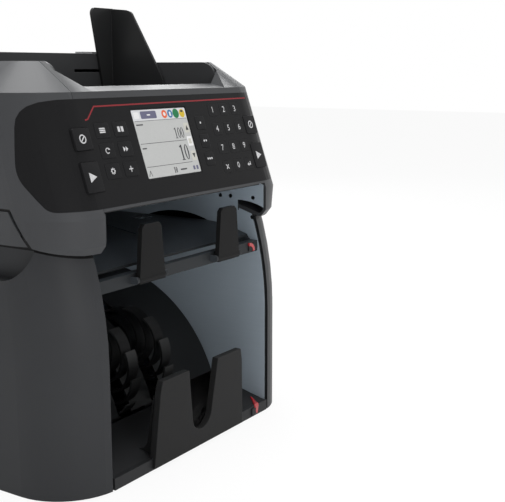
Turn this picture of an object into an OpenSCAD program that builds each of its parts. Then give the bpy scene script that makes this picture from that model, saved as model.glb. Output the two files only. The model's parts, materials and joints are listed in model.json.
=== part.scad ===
/* [Body] */
// Width over the side covers
body_w = 300; // [292:1:320]
// Depth of the body from front face to rear face
body_d = 293; // [284:1:310]
// Wall of the moulded covers
wall = 3; // [2.4:0.2:3.6]
// Plan radius of the front corners of the lower body
front_r = 50; // [46:1:56]
// Plan radius of the rear corners
rear_r = 20; // [16:1:24]
// Clear width of both note pockets
pocket_w = 210; // [204:1:214]
// Height of the joint between lower body and head
seam_z = 186.5; // [184:0.5:189]
// How far that joint drops towards the front
seam_drop = 8; // [6:0.5:10]
// Height at which the lower body starts to draw in
waist_z = 95; // [88:1:105]
// Radius of the drawn-in side and front profile
waist_r = 270; // [250:5:320]
// Height of the rubber feet
foot_h = 1; // [0.8:0.2:3]
// Thickness of the base plate
base_t = 3; // [2:0.5:4]

/* [Head] */
// Height of the chin, where the panel starts
chin_z = 204; // [200:1:208]
// Height of the shoulder edge, where the panel ends
shoulder_z = 291; // [287:1:296]
// Height of the flat roof
roof_z = 312.5; // [308:0.5:318]
// Lean of the control panel from upright
panel_tilt = 18.3; // [16:0.1:20]
// Plan radius of the front corners of the head
head_r = 46; // [42:1:50]
// How far the underside of the head draws in at the front
head_flare = 9; // [7:0.5:11]
// Thickness of the control overlay
overlay_t = 0.8; // [0.6:0.1:1.2]

/* [Keys and display] */
// Travel of a key
key_travel = 0.8; // [0.5:0.1:1.2]
// How far a key stands out of the overlay
key_proud = 0.6; // [0.3:0.1:1]
// Gap all round a key
key_gap = 0.3; // [0.25:0.05:0.5]
// Width of the display
lcd_w = 68.5; // [60:0.5:72]
// Height of the display
lcd_h = 55; // [48:0.5:58]
// Pitch of the number keys
digit_pitch = 16.3; // [15:0.1:17]

/* [Pockets] */
// Height of the stop plate of the main pocket
stop_h = 71; // [60:1:76]
// Width of one finger of the stop plate
stop_finger_w = 36; // [28:1:40]
// Width of the gap between the fingers
stop_gap_w = 40; // [34:1:44]
// Height of a reject stop above its pin
reject_stop_h = 41.5; // [34:0.5:44]
// Width of a reject stop at its foot
reject_stop_w = 31; // [26:1:34]
// Distance of each reject stop from the middle
reject_stop_x = 51; // [44:1:60]
// Radius of the stacker wheels
wheel_r = 46; // [40:1:47]
// Number of blades on a stacker wheel
blade_count = 12; // [8:1:13]
// Distance of each stacker wheel from the middle
wheel_x = 22; // [18:1:34]

/* [Hopper] */
// Clear width of the hopper
hopper_w = 195; // [190:1:198]
// Depth of the hopper from rim to back wall
hopper_d = 118; // [110:1:126]
// Height of the note guides above the hopper floor
guide_h = 77; // [60:1:84]
// Travel of each note guide towards the middle
guide_travel = 35; // [25:1:50]
// Radius of the feed tyres
feed_r = 16; // [14:0.5:17]

/* [Hidden] */
$fn = 96;
hull_fn = 48;
arc_fn = 480;
slab_t = 0.4;
fit = 0.3;
seat = 0.2;
run = 0.05;
sheet = 1.5;
// Cuts reach this far past the body, and this far past a face
past = 40;
over = 1;
half_w = body_w / 2;
pocket_half = pocket_w / 2;
stop_proud = 6;
hinge_r = 6;
hinge_back = 1;
total_d = stop_proud + body_d + hinge_back + hinge_r;
body_front = stop_proud - total_d / 2;
body_rear = body_front + body_d;
base_top = foot_h + base_t;
side_x = half_w + over;
foot_r = 10;
foot_taper = 1;
foot_out = 12;
foot_front = 45;
foot_rear = 35;

// Hinge of the head
hinge_lift = 3;
hinge_y = body_rear + hinge_back;
hinge_z = seam_z + hinge_lift;
hinge_pin_r = 2;
hinge_pin_end = 0.5;
hinge_x = 50;
knuckle_w = 10;
knuckle_foot = 12;
knuckle_trim = 1.5;
head_knuckle_r = 5;
head_knuckle_h = 8;

// Control panel plane
chin_set = 1.5;
chin_edge = 4.4;
seam_front_d = 10;
seam_gap = 2;
seam_gap_d = 1.8;
seam_break_d = 36;
chin_y = body_front + chin_set;
panel_top_y = chin_y + (shoulder_z - chin_z) * tan(panel_tilt);
chin_edge_z = chin_z + chin_edge;
seam_front_y = body_front + seam_front_d;
seam_break_y = body_front + seam_break_d;
seam_front_z = seam_z - seam_drop;
overlay_low = 6.8;
overlay_high = 87;
overlay_wrap = 48;
overlay_lean = 5;
overlay_low_wrap = 19.7;
overlay_low_rise = 24.5;
overlay_crown = [26, 19];
overlay_elbow = 9;
overlay_tip = 5;
bend_steps = 6;
overlay_top_z = chin_z + overlay_high * cos(panel_tilt);
overlay_back_y = chin_y + overlay_wrap;
key_r = 1.5;
key_depth = 6.6;
key_rim = 0.8;
key_rim_t = 1.4;
key_float = 1;
board_depth = key_depth + key_travel + key_float;
board_t = 1.6;
board_s = 48;
board_h = 74;
board_margin = 3;
post_r = 3;
post_in = 6;
post_bite = 0.8;
lcd_x = -14;
lcd_s = 49.7;
lcd_inset = 0.3;

// Key positions, as distance from the middle and along the panel
func_x = -84.5;
func_s = 62.7;
func_pitch_x = 19.9;
func_pitch_s = 15.1;
func_w = 15;
func_h = 11;
soft_x = 35;
soft_w = 12;
digit_x = 56.8;
digit_s = 72.6;
digit_w = 12;
digit_h = 10;
big_w = 17;
big_gap = 3.1;
big_x = digit_x + 2 * digit_pitch + digit_w / 2 + big_gap + big_w / 2;
clear_s = 57.6;
clear_h = 16;
start_s = 30;
start_h = 22;
DIGITS = ["1", "2", "3", "4", "5", "6", "7", "8", "9", "cancel", "0", "enter"];
SIDES = [["left", -1], ["right", 1]];
KEYS = concat(
    [for (i = [0:5]) [str("key_function_", i + 1), func_x + (i % 2) * func_pitch_x,
        func_s - floor(i / 2) * func_pitch_s, func_w, func_h]],
    [for (i = [0:2]) [str("key_soft_", i + 1), soft_x, func_s - i * func_pitch_s, soft_w, func_h]],
    [for (i = [0:11]) [str("key_", DIGITS[i]), digit_x + (i % 3) * digit_pitch,
        digit_s - floor(i / 3) * digit_pitch, digit_w, digit_h]],
    [for (s = SIDES) [str("key_clear_", s[0]), s[1] * big_x, clear_s, big_w, clear_h]],
    [for (s = SIDES) [str("key_start_", s[0]), s[1] * big_x, start_s, big_w, start_h]]
);

// Hopper and rim
rim_d = 48.5;
rim_rise = 3;
rim_y = chin_y + rim_d;
rim_z = shoulder_z + rim_rise;
rim_half = 77.9;
rim_top_half = 103;
rim_yaw = 20.6;
rim_wall_drop = 1;
rim_wall_foot = 5;
trough_h = 40;
trough_front = 20;
trough_back = 23.8;
trough_reach = 250;
hopper_half = hopper_w / 2;
cheek_t = 2.5;
cheek_round = 14;
back_y = rim_y + hopper_d;
back_t = 3;
back_foot = 20;
cap_rise = 8;
cap_edge = 1;
cap_flat = 26;
cap_run = 36;
cap_out = 14;
cap_recess = 8;
cap_recess_drop = 30;
tab_y = 24;
tab_d = 10;
tab_w = 11;
tab_in = 13.5;
tab_h = 2;
back_top_z = roof_z + cap_rise;
floor_slope = 9;
floor_drop = 8;
floor_set = 12;
floor_back_z = shoulder_z - floor_drop;
floor_front_y = rim_y + floor_set;
floor_t = 2.5;
slot_drop = 7.5;
slot_z = roof_z - slot_drop;
slot_h = 2.6;
slot_end = 3.5;
slot_lip = 6;
guide_t = 2.5;
guide_gap = 0.5;
guide_lift = 1;
guide_foot_d = 70;
guide_knee_d = 60;
guide_knee_h = 16;
guide_top_d = 26;
guide_round = 4;
guide_foot_w = 12;
guide_top_w = 27;
guide_nose = 3;
arm_w = 10;
arm_pad_t = 2;
arm_pad_h = 8;
guide_x = hopper_half - guide_gap;
slot_inner = guide_x - guide_t - arm_w - guide_travel - slot_end;
feed_d = 35;
feed_proud = 1.5;
feed_y = rim_y + feed_d;
feed_z = floor_back_z - (back_y - feed_y) * tan(floor_slope) - feed_r + feed_proud;
feed_shaft_r = 4;
feed_shaft_end = 2;
tyre_w = 10;
tyre_gap = 1;
tyre_x = [-60, -25, 25, 60];

// Pockets
lip_z = 10.3;
lip_d = 4;
pocket_floor_slope = 14;
pocket_floor_d = 55;
floor_end_y = body_front + pocket_floor_d;
floor_end_z = lip_z + (floor_end_y - body_front - lip_d) * tan(pocket_floor_slope);
plate_set = 2.5;
chute_r = 137;
chute_back = 190;
chute_y = body_front + chute_back;
chute_z = -20;
chute_t = 2.5;
chute_top_z = 114;
chute_bridge = 12;
wheel_gap = 2;
rail_z = 147.5;
rail_h = 9.5;
rail_d = 7.5;
stop_pin_set = 6;
stop_pin_rise = 4.5;
stop_pin_y = body_front + stop_pin_set;
stop_pin_z = rail_z + stop_pin_rise;
stop_pin_r = 1.5;
stop_pin_end = 4;
stop_barrel_r = 2.6;
stop_low = 3;
stop_t = 4;
stop_taper = 4;
stop_round = 3;
ear_w = 2.4;
ear_gap = 0.4;
rail_set = 10.4;
rail_front = body_front + rail_set;
tray_t = 2;
tray_lift = 4.5;
tray_rise = 9;
tray_gap = 3;
tray_run = 46;
tray_steps = 6;
tray_web = 3;
deck_end = 12;
deck_z = rail_z + rail_h + tray_lift + tray_rise;
window_x = 78;
window_d = 121;
window_w = 16;
window_l = 12;
slit_front = [8.5, 70.5];
slit_back = [31.8, 122];
slit_w = 2;
arch_r = 102;
arch_d = 99.5;
arch_h = 6;
ceiling_z = chin_edge_z - seat - sheet;
ceiling_set = 6;
ceiling_d = 99;
ceiling_drop_d = 14;
ceiling_rise = 4;
ceiling_back_y = body_front + ceiling_d;
ceiling_low_z = seam_z + ceiling_rise;
cheek_set = 1.5;
cheek_lap = 4;
cheek_slot_r = 63.6;
cheek_slot_y = body_front + 28;
cheek_slot_z = seam_z + 5.4;
cheek_slot_end = body_front + 30;
cheek_hole_r = 1.8;
cheek_hole_drop = 12;
cheek_holes = [14, 38, 49];
plate_hole_d = 16;
plate_hole_drop = 9.5;

// Stacker drive
wheel_d = 93;
wheel_y = body_front + wheel_d;
wheel_z = 56;
wheel_w = 12;
hub_r = 14;
blade_t = 1.6;
blade_arc_r = 26;
stacker_shaft_r = 5;
stacker_pulley_r = 16;
motor_pulley_r = 10;
pulley_w = 10;
pulley_x = pocket_half + 4;
belt_t = 1.5;
belt_sag = 0.03;
flange_t = 1;
flange_h = 1;
shaft_end = 4;
motor_d = 177;
motor_y = body_front + motor_d;
motor_r = 17;
motor_len = 37;
motor_boss_r = 6;
motor_boss_h = 4;
motor_shaft_r = 2.5;
motor_hole_gap = 1;
psu_w = 100;
psu_d = 70;
psu_h = 40;
psu_right = 20;
psu_gap = 12;
psu_slots = 9;
psu_slot_w = 3;
psu_slot_d = 2;
psu_margin = 8;

// Rear connectors
inlet_x = 62;
inlet_z = 34;
inlet_w = 27;
inlet_h = 20;
inlet_wall = 1.8;
inlet_corner = 4;
inlet_flange = 3;
inlet_flange_t = 2;
inlet_depth = 14;
inlet_back = 2;
inlet_pin_w = 2;
inlet_pin_h = 4;
inlet_pin_x = 7;
inlet_pin_z = 2;
inlet_pin_end = 2;
rocker_x = 28;
rocker_w = 13;
rocker_h = 19;
rocker_gap = 1;
rocker_set = 1.5;
rocker_y = body_rear - wall - rocker_set;
rocker_face = 6;
rocker_dip = 1.4;
rocker_step = 3.5;
rocker_tail = 3;
rocker_tail_in = 2.5;
rocker_edge = 0.6;
rocker_ear_d = 5;
rocker_pin_r = 1.25;
rocker_pin_end = 2;
rocker_tilt = 6;
screw_r = 3.2;
screw_head_h = 1.6;
screw_len = 10;
screw_slot_w = 0.8;
screw_slot_l = 3.6;
screw_slot_d = 1;
screw_in = 10;
screw_top = 30;
screw_low = 20;

// Lamps
lamp_angle = 35;
lamp_r = 2;
lamp_len = 22;
lamp_low = 16;
rail_lamp_in = 15;
lip_lamp_in = 26;
lamp_w = 10;
lamp_t = 1.2;
lamp_margin = 1.5;

// Helpers that turn a flat outline into a solid along one axis
module along_x(x0, x1) {
    translate([x0, 0, 0]) rotate([90, 0, 90]) linear_extrude(x1 - x0) children();
}
module along_y(y0, y1) {
    translate([0, y1, 0]) rotate([90, 0, 0]) linear_extrude(y1 - y0) children();
}
module rod_x(x0, x1, y, z, r) {
    translate([x0, y, z]) rotate([0, 90, 0]) cylinder(r = r, h = x1 - x0);
}
module box(lo, hi) {
    translate(lo) cube(hi - lo);
}
module on_side(side) {
    if (side < 0) mirror([1, 0, 0]) children();
    else children();
}
module rounded_rect(w, h, r) {
    square([w - 2 * r, h], center = true);
    square([w, h - 2 * r], center = true);
    for (x = [-1, 1], y = [-1, 1]) translate([x * (w / 2 - r), y * (h / 2 - r)]) circle(r = r);
}

// Point on the control panel, with the local z axis pointing out of the panel
module on_panel(x, s) {
    translate([x, chin_y + s * sin(panel_tilt), chin_z + s * cos(panel_tilt)])
        rotate([90 - panel_tilt, 0, 0]) children();
}
module panel_block(x, s, w, h, r, out, depth) {
    on_panel(x, s) translate([0, 0, -depth]) linear_extrude(out + depth) rounded_rect(w, h, r);
}

// Joint between lower body and head, seen from the side; everything under it belongs to the lower body
module seam_outline(drop) {
    polygon([
        [body_front - past, -past], [body_front - past, seam_front_z - drop],
            [seam_front_y, seam_front_z - drop],
        [seam_break_y, seam_z - drop], [body_rear + past, seam_z - drop], [body_rear + past, -past]
    ]);
}
module under_seam(drop) {
    along_x(-half_w - past, half_w + past) seam_outline(drop);
}

// Lower body: upright below the waist, then the front draws in along an arc
function draw_in(z) = z > waist_z ? waist_r - sqrt(waist_r * waist_r - (z - waist_z) * (z - waist_z)) : 0;
module plan_outline(inset) {
    span = body_d - front_r - rear_r;
    translate([inset - half_w, body_front + front_r]) square([body_w - 2 * inset, span]);
    translate([front_r - half_w, body_front + inset]) square([body_w - 2 * front_r, front_r]);
    translate([rear_r - half_w, body_rear - rear_r]) square([body_w - 2 * rear_r, rear_r - inset]);
    for (x = [-1, 1]) {
        translate([x * (half_w - front_r), body_front + front_r]) circle(r = front_r - inset);
        translate([x * (half_w - rear_r), body_rear - rear_r]) circle(r = rear_r - inset);
    }
}
module body_slab(z, front, half, rear, r, inset) {
    translate([0, 0, z]) linear_extrude(slab_t) for (x = [-1, 1]) {
        translate([x * (half - r), front + r]) circle(r = r - inset, $fn = hull_fn);
        translate([x * (half - rear_r), rear - rear_r]) circle(r = rear_r - inset, $fn = hull_fn);
    }
}
module lower_form(inset, z0) {
    steps = 5;
    hull() {
        body_slab(z0, body_front, half_w, body_rear, front_r, inset);
        for (i = [0:steps]) {
            z = waist_z + i * (seam_z - waist_z) / steps;
            body_slab(z, body_front + draw_in(z), half_w, body_rear, front_r, inset);
        }
    }
}
module beside_pocket(x) {
    box([x, body_front - past, -past], [half_w + past, body_rear + past, roof_z + past]);
}

// Finger scoop under the seam on each side
scoop_half = 25;
scoop_r = 26;
scoop_y = seam_break_y + scoop_r + scoop_half;
scoop_d = 12;
module scoop_outline(grow) {
    translate([scoop_y - scoop_half, seam_z - scoop_r - grow])
        square([2 * scoop_half, scoop_r + grow + wall]);
    for (y = [-1, 1]) translate([scoop_y + y * scoop_half, seam_z]) circle(r = scoop_r + grow);
}
module lower_cover(side) {
    on_side(side) difference() {
        intersection() {
            lower_form(0, foot_h);
            under_seam(seat / 2);
            beside_pocket(pocket_half + sheet + seat);
        }
        difference() {
            intersection() {
                lower_form(wall, foot_h - over);
                under_seam(wall);
            }
            along_x(half_w - wall - scoop_d, side_x) scoop_outline(wall);
        }
        along_x(half_w - scoop_d, side_x) scoop_outline(0);
        difference() {
            beside_pocket(0);
            lower_form(seam_gap_d, foot_h - over);
            under_seam(seam_gap);
        }
        if (side > 0) side_lamp(run);
    }
}
module lower_left_cover() { color("#47494d") lower_cover(-1); }
module lower_right_cover() { color("#47494d") lower_cover(1); }

// Floor of the machine, with the front lip and the sloping floor of the main pocket
module base_tray() {
    color("#2c2d30") {
        translate([0, 0, foot_h]) linear_extrude(base_t) {
            plan_outline(wall + fit);
            translate([fit - pocket_half, body_front]) square([pocket_w - 2 * fit, front_r]);
        }
        along_x(fit - pocket_half, pocket_half - fit) polygon([
            [body_front, base_top], [body_front, lip_z], [body_front + lip_d, lip_z],
            [floor_end_y, floor_end_z], [floor_end_y, floor_end_z - wall],
            [body_front + lip_d, lip_z - wall], [body_front + wall, lip_z - wall],
            [body_front + wall, base_top]
        ]);
        for (x = [-pocket_half / 2, 0, pocket_half / 2])
            box([x - wall / 2, floor_end_y - wall, base_top],
                [x + wall / 2, floor_end_y, floor_end_z - wall]);
    }
}

// Rear wall, with the openings of the mains inlet and switch and the fixed hinge knuckles
module hinge_barrel(x0, x1, r) {
    for (side = [-1, 1]) on_side(side) rod_x(hinge_x + x0, hinge_x + x1, hinge_y, hinge_z, r);
}
module lower_rear_cover() {
    ear_in = rocker_w / 2 + fit;
    color("#3b3d40") difference() {
        union() {
            box([fit - pocket_half, body_rear - wall, base_top],
                [pocket_half - fit, body_rear, seam_z - seat]);
            for (k = [0, 2]) {
                hinge_barrel(k * knuckle_w, (k + 1) * knuckle_w, hinge_r);
                for (side = [-1, 1]) on_side(side)
                    box([hinge_x + k * knuckle_w, body_rear - wall, seam_z - knuckle_foot],
                        [hinge_x + (k + 1) * knuckle_w, hinge_y + hinge_r - knuckle_trim, hinge_z]);
            }
            for (x = [-1, 1]) translate([rocker_x + x * (ear_in + wall / 2), rocker_y - seat, inlet_z])
                cube([wall, rocker_ear_d, rocker_h], center = true);
        }
        hinge_barrel(-over, 3 * knuckle_w + over, hinge_pin_r + run);
        hinge_barrel(knuckle_w, 2 * knuckle_w, head_knuckle_r + fit);
        along_y(body_rear - 3 * wall, body_rear + over) translate([inlet_x, inlet_z])
            square([inlet_w + 2 * seat, inlet_h + 2 * seat], center = true);
        box([rocker_x - ear_in, body_rear - 3 * wall, inlet_z - rocker_h / 2 - rocker_gap],
            [rocker_x + ear_in, body_rear + over, inlet_z + rocker_h / 2 + rocker_gap]);
        rod_x(rocker_x - 2 * rocker_w, rocker_x + 2 * rocker_w, rocker_y, inlet_z, rocker_pin_r + run);
        screw_places() rotate([90, 0, 0]) translate([0, 0, -over])
            cylinder(r = screw_r / 2 + run, h = wall + 2 * over);
    }
}
module hinge_pins() {
    color("silver") hinge_barrel(-hinge_pin_end, 3 * knuckle_w + hinge_pin_end, hinge_pin_r);
}
module screw_places() {
    for (x = [-1, 1], z = [seam_z - screw_top, foot_h + screw_low])
        translate([x * (pocket_half - screw_in), body_rear, z]) children();
}
module cover_screws() {
    color("silver") screw_places() rotate([90, 0, 0]) difference() {
        union() {
            translate([0, 0, -screw_head_h]) cylinder(r = screw_r, h = screw_head_h);
            cylinder(r = screw_r / 2, h = screw_len);
        }
        for (a = [0, 90]) rotate([0, 0, a]) translate([0, 0, -screw_head_h])
            cube([screw_slot_l, screw_slot_w, 2 * screw_slot_d], center = true);
    }
}
module rubber_feet() {
    color("#1d1d1f") for (x = [-1, 1], y = [body_front + foot_front, body_rear - foot_rear])
        translate([x * (pocket_half + foot_out), y, 0])
            cylinder(r1 = foot_r - foot_taper, r2 = foot_r, h = foot_h);
}

// Sheet side plates that carry the shafts, between the pockets and the side covers
module side_plate_outline() {
    depth = body_d - 2 * plate_set;
    translate([body_front + plate_set, base_top]) square([depth, waist_z - base_top]);
    intersection() {
        translate([body_front + plate_set, waist_z]) square([depth, seam_z - waist_z]);
        translate([body_front + waist_r, waist_z]) circle(r = waist_r - plate_set, $fn = arc_fn);
    }
}
module plate_hole(y, z, r) {
    rod_x(pocket_half - over, pocket_half + sheet + over, y, z, r);
}
module side_plate(side) {
    on_side(side) difference() {
        along_x(pocket_half, pocket_half + sheet) intersection() {
            side_plate_outline();
            seam_outline(fit);
        }
        plate_hole(wheel_y, wheel_z, stacker_shaft_r + run);
        plate_hole(motor_y, wheel_z, motor_shaft_r + motor_hole_gap);
        plate_hole(body_front + plate_hole_d, seam_z - plate_hole_drop, cheek_hole_r);
        along_x(pocket_half - over, pocket_half + sheet + over) intersection() {
            translate([body_front + arch_d, deck_z + arch_h - arch_r]) circle(r = arch_r, $fn = arc_fn);
            translate([body_front, deck_z]) square([body_d, seam_z - deck_z]);
        }
    }
}
module left_side_plate() { color("#78828a") side_plate(-1); }
module right_side_plate() { color("#78828a") side_plate(1); }

// Curved chute of the main pocket, slotted for the stacker wheels
module stacker_chute() {
    color("#1b1c1f") difference() {
        along_x(fit - pocket_half, pocket_half - fit) intersection() {
            translate([chute_y, chute_z]) difference() {
                circle(r = chute_r, $fn = arc_fn);
                circle(r = chute_r - chute_t, $fn = arc_fn);
            }
            translate([chute_y - chute_r - over, floor_end_z + fit])
                square([chute_r, chute_top_z - floor_end_z]);
        }
        for (x = [-1, 1])
            box([x * wheel_x - wheel_w / 2 - wheel_gap, body_front, floor_end_z - over],
                [x * wheel_x + wheel_w / 2 + wheel_gap, body_rear, chute_top_z - chute_bridge]);
    }
}

// Stop plate of the main pocket: two fingers that lean out, with a web behind each outer edge
stop_foot_z = 17;
stop_spread = 5;
stop_lean = 3.5;
stop_rise = 1.5;
stop_corner = 2.5;
stop_corner_h = 10;
notch_r = 13;
web_t = 3;
web_d = 9;
web_foot_d = 18;
web_top_d = 2;
web_h = 50;
module stop_plate() {
    half = stop_gap_w / 2 + stop_finger_w;
    gap = stop_gap_w / 2;
    low = foot_h + stop_rise;
    top = foot_h + stop_h;
    lean = stop_lean / (top - low);
    front = body_front - stop_proud + stop_lean;
    notch_z = stop_foot_z + notch_r;
    foot_y = body_front + web_foot_d;
    foot_z = lip_z + (web_foot_d - lip_d) * tan(pocket_floor_slope) + seat;
    bend = web_foot_d - web_d;
    color("#3a3b3d") {
        difference() {
            multmatrix([[1, 0, 0, 0], [0, 1, -lean, lean * low], [0, 0, 1, 0]])
                along_y(front, front + stop_proud) difference() {
                polygon([
                    [-half - stop_spread, low], [half + stop_spread, low],
                    [half + stop_taper, stop_foot_z], [half, top - stop_corner_h],
                    [half - stop_corner, top], [stop_corner - half, top],
                    [-half, top - stop_corner_h], [-half - stop_taper, stop_foot_z]
                ]);
                polygon([[-notch_r, notch_z], [notch_r, notch_z], [gap, top + over], [-gap, top + over]]);
                translate([0, notch_z]) circle(r = notch_r);
            }
            box([-half_w, body_front, 0], [half_w, body_front + past, lip_z + seat]);
        }
        for (side = [-1, 1]) on_side(side) along_x(half - web_t, half) polygon(concat(
            [[body_front, lip_z + seat], [body_front + lip_d, lip_z + seat]],
            [for (a = [0:15:90]) [foot_y - bend * sin(a), foot_z + bend * (1 - cos(a))]],
            [[body_front + web_top_d, lip_z + web_h], [body_front - over, lip_z + web_h]]
        ));
    }
}

// Reject pocket: rail in front, sloping tray behind it and the deck of the note path
module stop_ears() {
    for (s = [-1, 1], e = [-1, 1]) {
        x = s * reject_stop_x + e * (reject_stop_w / 2 + ear_gap + ear_w / 2);
        pin = ear_w / 2 + stop_pin_end;
        rod_x(x - ear_w / 2, x + ear_w / 2, stop_pin_y, stop_pin_z, stop_barrel_r);
        box([x - ear_w / 2, stop_pin_y, stop_pin_z - stop_barrel_r],
            [x + ear_w / 2, rail_front + over, stop_pin_z + stop_barrel_r]);
        rod_x(x - (e > 0 ? pin : 0), x + (e > 0 ? 0 : pin), stop_pin_y, stop_pin_z, stop_pin_r);
    }
}
module reject_tray() {
    front_y = rail_front + rail_d + tray_gap;
    flat_y = front_y + tray_run;
    low = deck_z - tray_rise;
    rise = [for (i = [0:tray_steps]) [front_y + tray_run * i / tray_steps,
        low + tray_rise * sin(90 * i / tray_steps)]];
    x_out = pocket_half - fit;
    color("#303236") {
        along_x(-x_out, x_out) translate([rail_front, rail_z]) square([rail_d, rail_h]);
        difference() {
            along_x(-x_out, x_out) polygon(concat(
                rise, [[body_rear - deck_end, deck_z], [body_rear - deck_end, deck_z - tray_t]],
                [for (i = [tray_steps:-1:0]) rise[i] - [0, tray_t]]
            ));
            box([window_x, body_front + window_d, deck_z - past],
                [window_x + window_w, body_front + window_d + window_l, deck_z + past]);
            translate([0, body_front, deck_z - past]) linear_extrude(2 * past) polygon([
                slit_front, slit_front + [slit_w, 0], slit_back + [slit_w, 0], slit_back
            ]);
        }
        for (side = [-1, 1]) on_side(side) along_x(x_out - tray_web, x_out) polygon([
            [rail_front, rail_z], [rail_front + rail_d, rail_z], [flat_y, deck_z - tray_t / 2],
            [front_y, low - tray_t / 2], [rail_front + rail_d, rail_z + rail_h],
            [rail_front, rail_z + rail_h]
        ]);
        stop_ears();
    }
}
module reject_stop(side) {
    half = reject_stop_w / 2;
    top = stop_pin_z + reject_stop_h;
    translate([side * reject_stop_x, 0, 0]) difference() {
        union() {
            along_y(stop_pin_y - stop_t / 2, stop_pin_y + stop_t / 2) polygon([
                [-half, stop_pin_z - stop_low], [half, stop_pin_z - stop_low],
                [half - stop_taper, top - stop_round],
                [half - stop_taper - stop_round, top], [stop_taper + stop_round - half, top],
                [stop_taper - half, top - stop_round]
            ]);
            rod_x(-half, half, stop_pin_y, stop_pin_z, stop_barrel_r);
        }
        rod_x(-half - over, half + over, stop_pin_y, stop_pin_z, stop_pin_r + run);
    }
}
module reject_stop_left() { color("#3a3b3d") reject_stop(-1); }
module reject_stop_right() { color("#3a3b3d") reject_stop(1); }

// Stacker shaft with its pulley, the bladed wheels, the belt and the motor
module stacker_shaft() {
    color("silver") {
        rod_x(-pocket_half - shaft_end, pulley_x + pulley_w + flange_t, wheel_y, wheel_z,
            stacker_shaft_r);
        rod_x(pulley_x, pulley_x + pulley_w, wheel_y, wheel_z, stacker_pulley_r);
        for (x = [pulley_x - flange_t, pulley_x + pulley_w])
            rod_x(x, x + flange_t, wheel_y, wheel_z, stacker_pulley_r + belt_t + flange_h);
    }
}
module blade_outline() {
    offset_r = wheel_r - blade_arc_r;
    intersection() {
        translate([offset_r, 0]) difference() {
            circle(r = blade_arc_r);
            circle(r = blade_arc_r - blade_t);
        }
        translate([-wheel_r, 0]) square([2 * wheel_r, wheel_r]);
    }
}
module stacker_wheel(side) {
    x = side * wheel_x;
    translate([0, wheel_y, wheel_z]) along_x(x - wheel_w / 2, x + wheel_w / 2) difference() {
        union() {
            circle(r = hub_r);
            for (i = [0:blade_count - 1]) rotate(i * 360 / blade_count) blade_outline();
        }
        circle(r = stacker_shaft_r + run / 2);
    }
}
module stacker_wheel_left() { color("#141416") stacker_wheel(-1); }
module stacker_wheel_right() { color("#141416") stacker_wheel(1); }
module motor_pulley() {
    color("#9a9da0") difference() {
        union() {
            rod_x(pulley_x, pulley_x + pulley_w, motor_y, wheel_z, motor_pulley_r);
            for (x = [pulley_x - flange_t, pulley_x + pulley_w])
                rod_x(x, x + flange_t, motor_y, wheel_z, motor_pulley_r + belt_t + flange_h);
        }
        rod_x(pulley_x - 2 * flange_t, pulley_x + pulley_w + 2 * flange_t, motor_y, wheel_z,
            motor_shaft_r + run);
    }
}
module belt_loop(grow, x0, x1) {
    r1 = stacker_pulley_r + grow;
    r2 = motor_pulley_r + grow;
    a = acos((r1 - r2) / (motor_y - wheel_y));
    t1 = r1 - belt_sag;
    t2 = r2 - belt_sag;
    rod_x(x0, x1, wheel_y, wheel_z, r1);
    rod_x(x0, x1, motor_y, wheel_z, r2);
    along_x(x0, x1) polygon([
        [wheel_y + t1 * cos(a), wheel_z + t1 * sin(a)], [motor_y + t2 * cos(a), wheel_z + t2 * sin(a)],
        [motor_y + t2 * cos(a), wheel_z - t2 * sin(a)], [wheel_y + t1 * cos(a), wheel_z - t1 * sin(a)]
    ]);
}
module drive_belt() {
    x0 = pulley_x + fit;
    x1 = pulley_x + pulley_w - fit;
    color("#1d1d1f") difference() {
        belt_loop(fit + belt_t, x0, x1);
        belt_loop(fit, x0 - over, x1 + over);
    }
}
module drive_motor() {
    color("#8a8d90") {
        rod_x(pocket_half - motor_len, pocket_half, motor_y, wheel_z, motor_r);
        rod_x(pocket_half - motor_len - motor_boss_h, pocket_half - motor_len, motor_y, wheel_z,
            motor_boss_r);
        rod_x(pocket_half - over, pulley_x + pulley_w + 2 * flange_t, motor_y, wheel_z, motor_shaft_r);
    }
}
module power_supply() {
    color("#9fa3a6") translate([psu_right - psu_w, body_rear - wall - psu_gap - psu_d, base_top])
        difference() {
        cube([psu_w, psu_d, psu_h]);
        for (i = [1:psu_slots])
            translate([i * psu_w / (psu_slots + 1) - psu_slot_w / 2, psu_margin, psu_h - psu_slot_d])
                cube([psu_slot_w, psu_d - 2 * psu_margin, psu_slot_d + over]);
    }
}

// Lamps: one on the rail, one on the front lip and a strip on the right corner
module side_lamp(grow) {
    r = front_r - lamp_r / 2;
    translate([half_w - front_r + r * sin(lamp_angle), body_front + front_r - r * cos(lamp_angle),
        waist_z - lamp_low - grow]) cylinder(r = lamp_r + grow, h = lamp_len + 2 * grow);
}
module signal_lamps() {
    rail_x = pocket_half - rail_lamp_in;
    lip_x = pocket_half - lip_lamp_in;
    color("#c02024") {
        box([rail_x, rail_front - lamp_t, rail_z + lamp_margin],
            [rail_x + lamp_w, rail_front, rail_z + rail_h - lamp_margin]);
        box([lip_x, body_front - lamp_t, foot_h + lamp_margin],
            [lip_x + lamp_w, body_front, lip_z - lamp_margin]);
        side_lamp(0);
    }
}

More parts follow.
